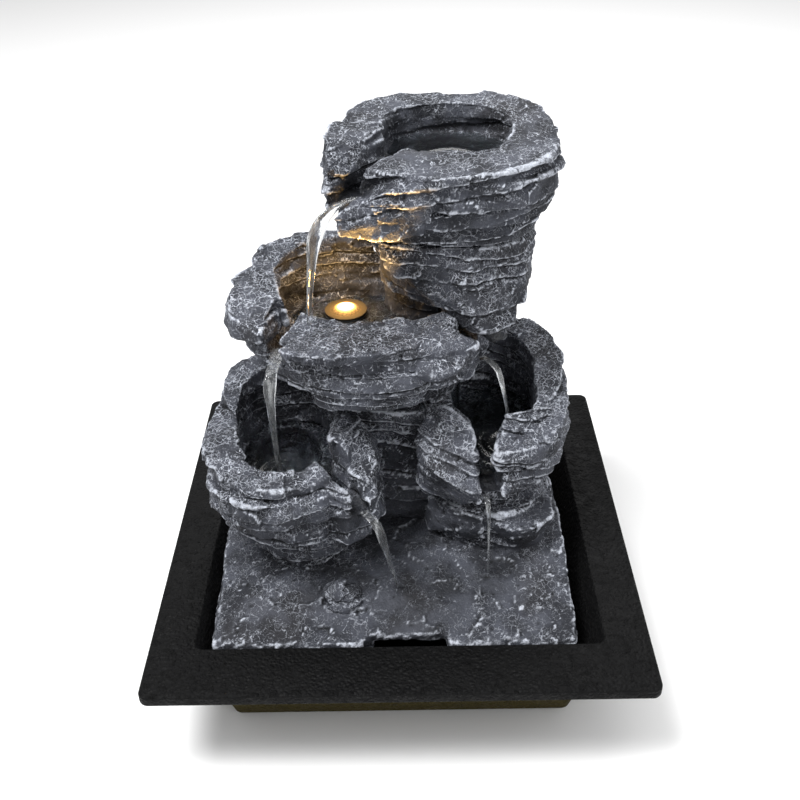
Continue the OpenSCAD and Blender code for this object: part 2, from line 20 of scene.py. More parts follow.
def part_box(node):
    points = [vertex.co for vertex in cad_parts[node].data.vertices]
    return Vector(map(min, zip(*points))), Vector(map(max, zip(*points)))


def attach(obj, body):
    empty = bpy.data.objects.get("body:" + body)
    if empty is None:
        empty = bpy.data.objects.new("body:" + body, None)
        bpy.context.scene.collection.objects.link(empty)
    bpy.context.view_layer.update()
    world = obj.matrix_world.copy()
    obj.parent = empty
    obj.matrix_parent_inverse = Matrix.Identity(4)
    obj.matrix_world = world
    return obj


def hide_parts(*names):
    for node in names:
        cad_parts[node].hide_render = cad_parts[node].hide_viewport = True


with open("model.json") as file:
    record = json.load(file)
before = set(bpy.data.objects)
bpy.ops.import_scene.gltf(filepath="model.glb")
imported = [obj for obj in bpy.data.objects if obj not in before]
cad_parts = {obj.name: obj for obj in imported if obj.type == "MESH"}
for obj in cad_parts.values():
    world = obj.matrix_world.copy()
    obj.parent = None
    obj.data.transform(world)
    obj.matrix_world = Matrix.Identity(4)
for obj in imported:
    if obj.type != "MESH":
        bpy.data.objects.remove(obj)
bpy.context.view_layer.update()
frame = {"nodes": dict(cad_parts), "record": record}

MM = 0.001
ROCK = "rock_tower"
LOG = logging.getLogger("fountain")

Point = tuple[float, float, float]
Colour = tuple[float, float, float]


# ---- noise fields -------------------------------------------------------------------------------
class Noise:
    """Steady noise fields, worked out for whole arrays of points at once."""

    @staticmethod
    def lattice(cell: np.ndarray, seed: int) -> np.ndarray:
        """Give each whole-numbered cell a steady value.

        Args:
            cell: Cells as an array of whole numbers, three to a row.
            seed: Which of the fields to read.

        Returns:
            One value from 0 to 1 for each cell.
        """
        k = cell.astype(np.int64)
        h = (k[..., 0] * 73856093) ^ (k[..., 1] * 19349663) ^ (k[..., 2] * 83492791) ^ (seed * 2654435761)
        for _ in range(2):
            h &= 0xFFFFFFFF
            h = ((h >> 16) ^ h) * 0x45D9F3B
        h &= 0xFFFFFFFF
        return (((h >> 16) ^ h) & 0xFFFFFF) / 0xFFFFFF

    @classmethod
    def soft(cls, points: np.ndarray, size: float, seed: int) -> np.ndarray:
        """Read smooth lumps.

        Args:
            points: Places, three numbers to a row.
            size: How far apart the lumps are, in the points' unit.
            seed: Which of the fields to read.

        Returns:
            One value from -1 to 1 for each point.
        """
        p = points / size
        cell = np.floor(p)
        f = p - cell
        f = f * f * (3 - 2 * f)
        total = np.zeros(len(p))
        for corner in np.ndindex(2, 2, 2):
            weight = np.prod(np.where(corner, f, 1 - f), axis=1)
            total += weight * cls.lattice(cell + corner, seed)
        return 2 * total - 1

    @classmethod
    def rough(cls, points: np.ndarray, size: float, seed: int, octaves: int = 3) -> np.ndarray:
        """Add finer and finer lumps.

        Args:
            points: Places, three numbers to a row.
            size: Spacing of the largest lumps.
            seed: Which of the fields to read.
            octaves: How many sizes to add, each half the one before.

        Returns:
            One value for each point, mostly from -1 to 1.
        """
        return sum(cls.soft(points, size / 2**k, seed + 17 * k) / 2**k for k in range(octaves)) / 1.5

    @classmethod
    def flakes(cls, points: np.ndarray, size: float, seed: int) -> np.ndarray:
        """Break a surface up into flat flakes that lean at random.

        Args:
            points: Places, three numbers to a row.
            size: Spacing of the flakes.
            seed: Which of the fields to read.

        Returns:
            How far each point is raised, about -1 to 1.
        """
        p = points / size
        cell = np.floor(p)
        nearest = np.full(len(p), 9.0)
        rise = np.zeros(len(p))
        for step in np.ndindex(3, 3, 3):
            near = cell + np.array(step) - 1
            offset = p - near - np.stack([cls.lattice(near, seed + k) for k in range(3)], axis=1)
            away = np.linalg.norm(offset, axis=1)
            tilt = np.stack([cls.lattice(near, seed + 5 + k) for k in range(3)], axis=1) - 0.5
            height = 2.4 * np.einsum("ij,ij->i", offset, tilt) + cls.lattice(near, seed + 9) - 0.5
            rise = np.where(away < nearest, height, rise)
            nearest = np.minimum(nearest, away)
        return rise


def ease(value: np.ndarray, low: float, high: float) -> np.ndarray:
    """Climb smoothly from 0 at low to 1 at high.

    Args:
        value: What is measured.
        low: Where the climb starts.
        high: Where it ends, above or below low.

    Returns:
        Values from 0 to 1.
    """
    t = np.clip((value - low) / (high - low), 0, 1)
    return t * t * (3 - 2 * t)


# ---- meshes -------------------------------------------------------------------------------------
def new_piece(name: str, bm: bmesh.types.BMesh) -> bpy.types.Object:
    """Make an object from a bmesh in millimetres, and free the bmesh.

    Args:
        name: The object's name.
        bm: Its shape, in millimetres.

    Returns:
        The object, at the origin, linked to the scene.
    """
    bmesh.ops.scale(bm, vec=(MM, MM, MM), verts=bm.verts)
    mesh = bpy.data.meshes.new(name)
    bm.to_mesh(mesh)
    bm.free()
    piece = bpy.data.objects.new(name, mesh)
    bpy.context.scene.collection.objects.link(piece)
    return piece


def node_copy(node: str) -> bmesh.types.BMesh:
    """Copy a CAD node's mesh, with its loose triangles joined up.

    Args:
        node: The node's name.

    Returns:
        A closed bmesh in millimetres.
    """
    bm = bmesh.new()
    bm.from_mesh(frame["nodes"][node].data)
    bmesh.ops.scale(bm, vec=(1 / MM, 1 / MM, 1 / MM), verts=bm.verts)
    bmesh.ops.remove_doubles(bm, verts=bm.verts, dist=0.002)
    return bm


def report(piece: bpy.types.Object) -> None:
    """Log a finished piece and its size in faces."""
    LOG.info("%s: %d faces", piece.name, len(piece.data.polygons))


def apply_modifiers(piece: bpy.types.Object) -> None:
    """Turn a piece's modifiers into its mesh.

    Args:
        piece: The piece, whose modifiers are cleared.
    """
    done = bpy.data.meshes.new_from_object(piece.evaluated_get(bpy.context.evaluated_depsgraph_get()))
    piece.modifiers.clear()
    old = piece.data
    piece.data = done
    bpy.data.meshes.remove(old)


def shade(piece: bpy.types.Object, material: bpy.types.Material, smooth: bool = True) -> None:
    """Give a piece its one material, and smooth or flat shading.

    Args:
        piece: The piece to dress.
        material: Its material.
        smooth: Whether its faces are shaded as one surface.
    """
    piece.data.materials.clear()
    piece.data.materials.append(material)
    piece.data.polygons.foreach_set("use_smooth", [smooth] * len(piece.data.polygons))


class Sculpt:
    """A mesh held as arrays in millimetres, so that all its points are shaped at once."""

    def __init__(self, mesh: bpy.types.Mesh) -> None:
        """Read a mesh's points and edges.

        Args:
            mesh: The mesh to shape, in metres.
        """
        self.mesh = mesh
        self.count = len(mesh.vertices)
        flat = np.empty(3 * self.count, np.float32)
        mesh.vertices.foreach_get("co", flat)
        self.points = flat.reshape(-1, 3).astype(float) / MM
        ends = np.empty(2 * len(mesh.edges), np.int32)
        mesh.edges.foreach_get("vertices", ends)
        self.ends = ends.reshape(-1, 2)
        self.degree = np.maximum(np.bincount(ends, minlength=self.count), 1)

    def write(self) -> None:
        """Put the points back into the mesh."""
        self.mesh.vertices.foreach_set("co", (self.points * MM).astype(np.float32).ravel())
        self.mesh.update()

    def normals(self) -> np.ndarray:
        """Read the outward direction at each point.

        Returns:
            Unit directions, three numbers to a row.
        """
        self.write()
        flat = np.empty(3 * self.count, np.float32)
        self.mesh.vertices.foreach_get("normal", flat)
        return flat.reshape(-1, 3).astype(float)

    def average(self, values: np.ndarray, steps: int) -> np.ndarray:
        """Blur values over neighbouring points.

        Args:
            values: One value, or one row, for each point.
            steps: How many times to blur.

        Returns:
            The blurred values, in the same shape.
        """
        columns = values.reshape(self.count, -1).copy()
        a, b = self.ends[:, 0], self.ends[:, 1]
        for _ in range(steps):
            for k in range(columns.shape[1]):
                column = columns[:, k]
                total = np.bincount(a, column[b], self.count) + np.bincount(b, column[a], self.count)
                columns[:, k] = (column + total / self.degree) / 2
        return columns.reshape(values.shape)

    def relax(self, steps: int) -> None:
        """Round the shape off by blurring its points."""
        self.points = self.average(self.points, steps)

    def push(self, distance: np.ndarray) -> None:
        """Move each point straight out of the surface, by its own distance in millimetres."""
        self.points = self.points + self.normals() * distance[:, None]

    def relief(self, steps: int) -> np.ndarray:
        """Measure how far each point stands out of its surroundings.

        Args:
            steps: How wide the surroundings are, in blurs.

        Returns:
            Millimetres, positive on a ridge and negative in a hollow.
        """
        lean = self.points - self.average(self.points, steps)
        return np.einsum("ij,ij->i", lean, self.normals())

    def paint(self, name: str, values: np.ndarray) -> None:
        """Store one number for each point under a name that a material can read."""
        layer = self.mesh.attributes.new(name, "FLOAT", "POINT")
        layer.data.foreach_set("value", np.clip(values, 0, 1).astype(np.float32))


# ---- finishes -----------------------------------------------------------------------------------
class Shader:
    """A material's node tree, with short calls for the nodes that the finishes share."""

    def __init__(self, name: str) -> None:
        """Start a material.

        Args:
            name: The material's name.
        """
        self.material = bpy.data.materials.new(name)
        self.material.use_nodes = True
        self.tree = self.material.node_tree
        self.surface = self.tree.nodes["Principled BSDF"]
        self.place = self.tree.nodes.new("ShaderNodeTexCoord").outputs["Object"]

    def add(self, kind: str, inputs: dict, **settings: object) -> bpy.types.Node:
        """Add a node.

        Args:
            kind: The node's type, without its first word.
            inputs: A number, a colour or another node's output for each named or numbered socket.
            settings: Properties of the node itself.

        Returns:
            The node.
        """
        node = self.tree.nodes.new("ShaderNode" + kind)
        for key, value in settings.items():
            setattr(node, key, value)
        for key, value in inputs.items():
            if isinstance(value, bpy.types.NodeSocket):
                self.tree.links.new(value, node.inputs[key])
            else:
                node.inputs[key].default_value = value
        return node

    def set(self, **values: object) -> None:
        """Set or link the surface's own sockets.

        Args:
            values: A plain value or another node's output for each socket, with _ for a space in its name.
        """
        for key, value in values.items():
            socket = self.surface.inputs[key.replace("_", " ")]
            if isinstance(value, bpy.types.NodeSocket):
                self.tree.links.new(value, socket)
            else:
                socket.default_value = value

    def noise(self, scale: float, detail: float = 4, distortion: float = 0, vector: object = None) -> object:
        """Read cloudy noise.

        Args:
            scale: Lumps in a metre.
            detail: How many finer sizes are added.
            distortion: How much the noise warps itself.
            vector: Where to read it, or None for the object's own place.

        Returns:
            The noise's factor output.
        """
        inputs = {"Vector": vector or self.place, "Scale": scale, "Detail": detail, "Distortion": distortion}
        return self.add("TexNoise", inputs).outputs["Fac"]

    def cells(self, scale: float, feature: str = "F1", vector: object = None) -> object:
        """Read the distance in a cell pattern.

        Args:
            scale: Cells in a metre.
            feature: F1 or DISTANCE_TO_EDGE.
            vector: Where to read it, or None for the object's own place.

        Returns:
            The pattern's distance output.
        """
        inputs = {"Vector": vector or self.place, "Scale": scale}
        return self.add("TexVoronoi", inputs, feature=feature).outputs["Distance"]

    def warp(self, scale: float, amount: float) -> object:
        """Shake the object's place, so that a pattern read there is ragged.

        Args:
            scale: Shakes in a metre.
            amount: How far, in metres.

        Returns:
            The shaken place.
        """
        shake = self.add("TexNoise", {"Vector": self.place, "Scale": scale, "Detail": 3.0}).outputs["Color"]
        centred = self.add("VectorMath", {0: shake, 1: (0.5, 0.5, 0.5)}, operation="SUBTRACT").outputs[0]
        inputs = {0: centred, "Scale": amount}
        small = self.add("VectorMath", inputs, operation="SCALE").outputs[0]
        return self.add("VectorMath", {0: self.place, 1: small}, operation="ADD").outputs[0]

    def span(self, value: object, low: float, high: float, to_low: float = 0, to_high: float = 1) -> object:
        """Stretch a value from one span to another, with soft ends.

        Args:
            value: The value's output.
            low: Where the first span starts.
            high: Where it ends.
            to_low: What low becomes.
            to_high: What high becomes.

        Returns:
            The stretched value, held within its new span.
        """
        inputs = {"Value": value, "From Min": low, "From Max": high, "To Min": to_low, "To Max": to_high}
        return self.add("MapRange", inputs, interpolation_type="SMOOTHSTEP").outputs["Result"]

    def math(self, operation: str, a: object, b: object) -> object:
        """Combine two numbers."""
        return self.add("Math", {0: a, 1: b}, operation=operation).outputs[0]

    def blend(self, factor: object, a: object, b: object) -> object:
        """Mix two colours.

        Args:
            factor: How much of the second colour shows, from 0 to 1.
            a: The first, a plain colour or an output.
            b: The second.

        Returns:
            The mixed colour.
        """
        a, b = ((*c, 1) if isinstance(c, tuple) else c for c in (a, b))
        node = self.add("Mix", {0: factor, 6: a, 7: b}, data_type="RGBA")
        return node.outputs[2]

    def value(self, name: str) -> object:
        """Read a number painted on the mesh."""
        return self.add("Attribute", {}, attribute_name=name).outputs["Fac"]

    def bump(self, height: object, distance: float, strength: float = 1.0) -> object:
        """Turn a height into a bent normal.

        Args:
            height: The height output.
            distance: How high 1 is, in metres.
            strength: How much of it shows.

        Returns:
            The normal output.
        """
        inputs = {"Height": height, "Distance": distance, "Strength": strength}
        return self.add("Bump", inputs).outputs["Normal"]


@dataclass(frozen=True)
class Slate:
    """Cast slate: dark blue-grey, dry-brushed pale on its edges, with painted shade, near black, in its
    cracks and hollows.
    """

    shadow: Colour = (0.017, 0.0185, 0.024)
    body: Colour = (0.062, 0.067, 0.084)
    pale: Colour = (0.54, 0.57, 0.64)
    # near black, for wet rock and for painted shade in the hollows
    wet_and_shade_dark: Colour = (0.0045, 0.005, 0.006)
    warm: Colour = (0.050, 0.042, 0.035)
    web_scale: float = 330
    vein_scale: float = 210
    hair_scale: float = 640
    relief: float = 0.00065

    def thread(self, s: Shader, scale: float, width: float, place: object) -> object:
        """Draw wandering threads where a noise crosses its middle value.

        Args:
            s: The shader that takes the nodes.
            scale: Lumps of the noise in a metre.
            width: How far from the middle value a thread reaches.
            place: Where to read the noise.

        Returns:
            An output that is 1 on a thread and 0 off it.
        """
        off = s.math("ABSOLUTE", s.math("SUBTRACT", s.noise(scale, 2.5, 0.3, place), 0.5), 0)
        return s.span(off, width * 0.25, width, 1, 0)

    def make(self) -> bpy.types.Material:
        """Build the material, which reads the ridge, hollow, wet, top and brush values on the mesh; hollow is
        painted shade.

        Returns:
            The material.
        """
        s = Shader("slate")
        ridge, hollow, wet, top, brush = (s.value(n) for n in ("ridge", "hollow", "wet", "top", "brush"))
        ragged = s.warp(300, 0.003)
        web = s.span(s.cells(self.web_scale, "DISTANCE_TO_EDGE", ragged), 0.006, 0.062, 1, 0)
        vein = self.thread(s, self.vein_scale, 0.018, s.place)
        hair = self.thread(s, self.hair_scale, 0.034, ragged)
        web = s.math("MULTIPLY", web, s.span(s.noise(110, 3), 0.40, 0.58, 0.0, 0.9))
        vein = s.math("MULTIPLY", vein, s.span(s.noise(140, 3), 0.38, 0.56))
        hair = s.math("MULTIPLY", hair, s.span(s.noise(190, 3), 0.38, 0.60, 0.1, 0.8))
        lines = s.math("MAXIMUM", s.math("MAXIMUM", web, vein), hair)
        flecks = s.span(s.noise(1300, 4), 0.56, 0.68)
        grain = s.noise(1500, 3)
        brushed = s.math("MULTIPLY", lines, s.span(top, 0, 1, 0.45, 1.0))
        dust = s.math("MULTIPLY", flecks, s.span(s.math("ADD", top, ridge), 0, 1.4, 0.08, 0.45))
        edge = s.math("MULTIPLY", ridge, s.span(s.noise(330, 3), 0.30, 0.58, 0.45, 1.1))
        dry = s.math("MAXIMUM", s.math("MULTIPLY", s.math("MAXIMUM", brushed, dust), brush), edge)
        dry = s.math("MULTIPLY", dry, s.span(grain, 0.30, 0.60, 0.55, 1.05))
        dry = s.math("MULTIPLY", dry, s.span(wet, 0, 1, 1, 0.22))
        base = s.blend(s.span(s.noise(75, 7), 0.38, 0.64), self.shadow, self.body)
        base = s.blend(s.math("MULTIPLY", s.span(s.noise(30, 2), 0.5, 0.7), 0.14), base, self.warm)
        base = s.blend(s.span(dry, 0.04, 1.0, 0, 0.97), base, self.pale)
        base = s.blend(s.math("MULTIPLY", wet, 0.70), base, self.wet_and_shade_dark)
        # painted shade: hollows, cracks and pits darkened near black
        base = s.blend(hollow, base, self.wet_and_shade_dark)
        s.set(Base_Color=base, Roughness=s.span(wet, 0, 1, 0.78, 0.28), Specular_IOR_Level=0.28)
        height = s.math("ADD", s.math("MULTIPLY", lines, 0.8), s.math("MULTIPLY", s.noise(800, 5), 1.0))
        s.set(Normal=s.bump(height, self.relief, 0.9))
        return s.material


@dataclass(frozen=True)
class Moulded:
    """A moulded plastic or rubber, with a fine grain and slightly uneven gloss."""

    name: str
    colour: Colour
    roughness: float = 0.45
    grain: float = 1500
    depth: float = 0.00006
    mottle: float = 0.12
    specular: float = 0.5

    def make(self) -> bpy.types.Material:
        """Build the material.

        Returns:
            The material.
        """
        s = Shader(self.name)
        dark = tuple(c * (1 - self.mottle) for c in self.colour)
        cloud = s.noise(70, 4)
        s.set(Base_Color=s.blend(s.span(cloud, 0.35, 0.65), dark, self.colour),
              Roughness=s.span(cloud, 0.3, 0.7, self.roughness * 0.88, min(self.roughness * 1.12, 1.0)),
              Specular_IOR_Level=self.specular,
              Normal=s.bump(s.noise(self.grain, 3), self.depth))
        return s.material


@dataclass(frozen=True)
class PebbledBlack:
    """The tray's black: a matt, finely pebbled coat, brown low down on the outside of the basin."""

    colour: Colour = (0.0042, 0.0042, 0.0044)
    low_brown: Colour = (0.046, 0.037, 0.012)
    brown_below: float = 28
    brown_fade: float = 14
    speck: Colour = (0.010, 0.010, 0.0105)
    pebbles: float = 620
    relief: float = 0.00075

    def make(self) -> bpy.types.Material:
        """Build the material.

        Returns:
            The material.
        """
        s = Shader("pebbled_black")
        height_mm = s.math("DIVIDE", s.add("SeparateXYZ", {0: s.place}).outputs["Z"], MM)
        # the basin's outside turns brown towards the bottom
        brown_band = s.span(height_mm, self.brown_below, self.brown_below - self.brown_fade)
        low = s.math("MULTIPLY", brown_band, s.value("outside"))
        spots = s.span(s.noise(420, 5, 0.4), 0.55, 0.75)
        tint = s.blend(s.math("MULTIPLY", spots, 0.5), self.colour, self.speck)
        s.set(Base_Color=s.blend(low, tint, self.low_brown),
              Roughness=s.span(s.noise(150, 4), 0.3, 0.7, 0.50, 0.68),
              Specular_IOR_Level=0.09)
        pits = s.span(s.cells(self.pebbles, "F1", s.warp(500, 0.001)), 0.1, 0.75, 1, 0)
        clods = s.span(s.noise(330, 4, 0.6), 0.50, 0.80)
        height = s.math("ADD", s.math("MULTIPLY", pits, 0.5), s.math("MULTIPLY", clods, 1.2))
        s.set(Normal=s.bump(height, self.relief))
        return s.material


@dataclass(frozen=True)
class Clear:
    """Clear water, vinyl or lens, which bends light."""

    name: str
    colour: Colour
    index: float
    roughness: float = 0.03
    ripple: float = 180
    depth: float = 0.0002

    def make(self) -> bpy.types.Material:
        """Build the material.

        Returns:
            The material.
        """
        s = Shader(self.name)
        s.set(Base_Color=(*self.colour, 1), Roughness=self.roughness, IOR=self.index, Transmission_Weight=1.0)
        s.set(Normal=s.bump(s.noise(self.ripple, 3, 0.6), self.depth))
        return s.material


@dataclass(frozen=True)
class FallingWater:
    """Running water: clear, with white streaks along its fall, partly air in the water and partly painted
    highlight.
    """

    clear: Colour = (0.86, 0.88, 0.90)
    # grey-white of the streaks: air in the water and painted highlight
    air_and_highlight: Colour = (0.46, 0.48, 0.49)
    streaks: tuple[float, float, float] = (520, 520, 30)
    share: float = 0.24
    index: float = 1.333

    def make(self) -> bpy.types.Material:
        """Build the material.

        Returns:
            The material.
        """
        s = Shader("falling_water")
        drawn = s.add("VectorMath", {0: s.place, 1: self.streaks}, operation="MULTIPLY").outputs[0]
        streak = s.noise(1.0, 3, 0.3, drawn)
        # white streaks: partly air in the water, partly painted highlight
        white = s.span(streak, 0.50, 0.70, 0.03, self.share)
        s.set(Base_Color=s.blend(white, self.clear, self.air_and_highlight),
              Roughness=s.span(white, 0, 1, 0.02, 0.5),
              IOR=self.index,
              Transmission_Weight=s.math("SUBTRACT", 1.0, white),
              Normal=s.bump(streak, 0.0005, 0.7))
        return s.material


@dataclass(frozen=True)
class Glow:
    """The light's emitter and the bright face of its lens."""

    name: str
    colour: Colour
    strength: float
    edge: Colour = (1.0, 0.45, 0.10)
    unlit: Colour = (0.016, 0.014, 0.012)
    centre: tuple[float, float] = (0, 0)
    radius: float = 8

    def make(self) -> bpy.types.Material:
        """Build the material, white hot in the middle and amber at its edge.

        Returns:
            The material.
        """
        s = Shader(self.name)
        away = s.add("VectorMath", {0: s.place, 1: (self.centre[0] * MM, self.centre[1] * MM, 0)},
                     operation="SUBTRACT").outputs[0]
        flat = s.add("VectorMath", {0: away, 1: (1, 1, 0)}, operation="MULTIPLY").outputs[0]
        far = s.math("DIVIDE", s.add("VectorMath", {0: flat}, operation="LENGTH").outputs["Value"],
                     self.radius * MM)
        fade = s.span(far, 0.32, 1.02, 1.45, 0)
        sparkle = s.span(s.noise(1100, 3), 0.35, 0.65, 0.35, 1.3)
        glow = s.math("MULTIPLY", s.math("MULTIPLY", fade, fade), sparkle)
        s.set(Base_Color=(*self.unlit, 1), Roughness=0.6, Specular_IOR_Level=0.05,
              Emission_Color=s.blend(s.span(far, 0.20, 0.55), self.colour, self.edge),
              Emission_Strength=s.math("ADD", s.span(far, 0.34, 0.66, self.strength, 0), glow))
        return s.material


@dataclass(frozen=True)
class Metal:
    """A bare metal with drawn lines or windings across it."""

    name: str
    colour: Colour
    lines: float
    roughness: float = 0.35
    metallic: float = 1.0

    def make(self) -> bpy.types.Material:
        """Build the material.

        Returns:
            The material.
        """
        s = Shader(self.name)
        wave = s.add("TexWave", {"Vector": s.place, "Scale": self.lines, "Distortion": 0.4, "Detail": 2.0},
                     bands_direction="Z").outputs["Fac"]
        dark = tuple(c * 0.55 for c in self.colour)
        s.set(Base_Color=s.blend(wave, dark, self.colour), Metallic=self.metallic,
              Roughness=s.span(s.noise(300, 4), 0.3, 0.7, self.roughness * 0.7, self.roughness * 1.2),
              Normal=s.bump(wave, 0.0002, 0.8))
        return s.material


@dataclass(frozen=True)
class Foam:
    """Open-cell sponge, with painted shade in its pores."""

    name: str
    colour: Colour

    def make(self) -> bpy.types.Material:
        """Build the material.

        Returns:
            The material.
        """
        s = Shader(self.name)
        cells = s.span(s.cells(900, "F1"), 0.1, 0.6)
        # painted shade: each pore darkened towards its middle
        hollow = tuple(c * 0.15 for c in self.colour)
        s.set(Base_Color=s.blend(cells, hollow, self.colour), Roughness=0.95, Specular_IOR_Level=0.1,
              Normal=s.bump(cells, 0.0009))
        return s.material


class Finishes:
    """Every finish of the fountain, made once and kept under its slot's name."""

    def __init__(self, lamp_centre: tuple[float, float]) -> None:
        """Make the materials.

        Args:
            lamp_centre: The light's place in plan.
        """
        recipes = {
            "rock": Slate(),
            "tray_black": PebbledBlack(),
            "soft_rubber": Moulded("soft_rubber", (0.018, 0.018, 0.018), 0.75, 900, 0.0001),
            "clear_vinyl": Clear("clear_vinyl", (0.93, 0.96, 0.97), 1.45, 0.12),
            "lamp_black": Moulded("lamp_black", (0.015, 0.015, 0.016), 0.3),
            "lamp_lens": Glow("lamp_lens", (1.0, 0.86, 0.58), 6.0, centre=lamp_centre),
            "lamp_board": Moulded("lamp_board", (0.55, 0.53, 0.46), 0.5, 600, 0.00003),
            "lamp_emitter": Glow("lamp_emitter", (1.0, 0.80, 0.45), 8.0, centre=lamp_centre),
            "lead_black": Moulded("lead_black", (0.012, 0.012, 0.013), 0.35),
            "clip_white": Moulded("clip_white", (0.72, 0.72, 0.69), 0.42),
            "pump_black": Moulded("pump_black", (0.016, 0.017, 0.019), 0.48, 1900, 0.00012),
            "pump_grey": Moulded("pump_grey", (0.034, 0.037, 0.042), 0.5, 1900, 0.00012),
            "core_steel": Metal("core_steel", (0.50, 0.51, 0.53), 900, 0.4),
            "coil_copper": Metal("coil_copper", (0.72, 0.33, 0.13), 500, 0.3),
            "sponge": Foam("sponge", (0.035, 0.06, 0.085)),
            "shutter_red": Moulded("shutter_red", (0.42, 0.016, 0.012), 0.33),
            "rotor_white": Moulded("rotor_white", (0.74, 0.74, 0.71), 0.4),
            "magnet": Moulded("magnet", (0.045, 0.045, 0.050), 0.55, 2600, 0.0001, 0.3),
            "shaft_ceramic": Moulded("shaft_ceramic", (0.80, 0.79, 0.76), 0.18, 500, 0.00001, 0.03),
            "water": Clear("water", (0.90, 0.95, 0.97), 1.333, 0.12, 120, 0.00012),
            "falling_water": FallingWater(),
        }
        self.by_slot = {slot: recipe.make() for slot, recipe in recipes.items()}

    def __getitem__(self, slot: str) -> bpy.types.Material:
        """Give the material of a slot, or of falling water."""
        return self.by_slot[slot]


# ---- rock ---------------------------------------------------------------------------------------
class Cut(Enum):
    """Whether a stone is added to a casting or leaves its print in it."""

    ADD = "add"
    PRINT = "print"


@dataclass(frozen=True)
class Stone:
    """A rounded stone that is pressed into a casting, or leaves its print in it.

    Squareness above 0 flattens its sides.
    """

    centre: Point
    size: Point
    square: float = 0.0
    cut: Cut = Cut.ADD

    def shape(self, bm: bmesh.types.BMesh) -> None:
        """Add the stone to a bmesh.

        Args:
            bm: The bmesh, in millimetres.
        """
        made = bmesh.ops.create_icosphere(bm, subdivisions=4, radius=1.0)["verts"]
        power = 1 - 0.65 * self.square
        for v in made:
            v.co = Vector(math.copysign(abs(c) ** power, c) for c in v.co)
        half = Matrix.Diagonal((*(s / 2 for s in self.size), 1))
        bmesh.ops.transform(bm, matrix=Matrix.Translation(self.centre) @ half, verts=made)


@dataclass(frozen=True)
class Shard:
    """An angular stone: the hull of a few corners, in millimetres."""

    corners: tuple[Point, ...]
    cut: Cut = Cut.ADD

    def shape(self, bm: bmesh.types.BMesh) -> None:
        """Add the stone to a bmesh.

        Args:
            bm: The bmesh, in millimetres.
        """
        made = [bm.verts.new(corner) for corner in self.corners]
        hull = bmesh.ops.convex_hull(bm, input=made)
        loose = {v for v in hull["geom_interior"] if isinstance(v, bmesh.types.BMVert)}
        if loose:
            bmesh.ops.delete(bm, geom=list(loose), context="VERTS")
        faces = [f for f in hull["geom"] if isinstance(f, bmesh.types.BMFace)]
        bmesh.ops.recalc_face_normals(bm, faces=faces)


@dataclass(frozen=True)
class Grain:
    """How a casting's slate is laid.

    Layer is the courses' thickness, phase lifts their joints, warp bends them and lean tilts them. Jut
    moves whole courses in and out, shelf does so three courses at a time, nose rounds their edges over
    an undercut, chip breaks them and sheet splits them finely. Lump and flake shape the whole surface,
    fine roughens it, soften rounds the blank off first, and brush is how much pale paint its face takes.
    """

    layer: float = 7.5
    phase: float = 0.0
    warp: float = 3.4
    lean: tuple[float, float] = (0.04, 0.05)
    jut: float = 2.0
    shelf: float = 0.6
    nose: float = 2.2
    chip: float = 0.35
    sheet: float = 0.50
    lump: float = 1.2
    flake: float = 0.8
    flake_size: float = 15.0
    fine: float = 0.16
    soften: int = 5
    brush: float = 1.0


@dataclass(frozen=True)
class Bore:
    """A round way through the castings that keeps its true shape."""

    x: float
    y: float
    radius: float
    low: float
    high: float

    def near(self, points: np.ndarray) -> np.ndarray:
        """Tell how much each point belongs to the bore.

        Args:
            points: The points, in millimetres.

        Returns:
            Values from 0 to 1, one for each point.
        """
        away = np.hypot(points[:, 0] - self.x, points[:, 1] - self.y)
        level = (points[:, 2] > self.low) & (points[:, 2] < self.high)
        return ease(away, self.radius + 3.0, self.radius + 0.8) * level


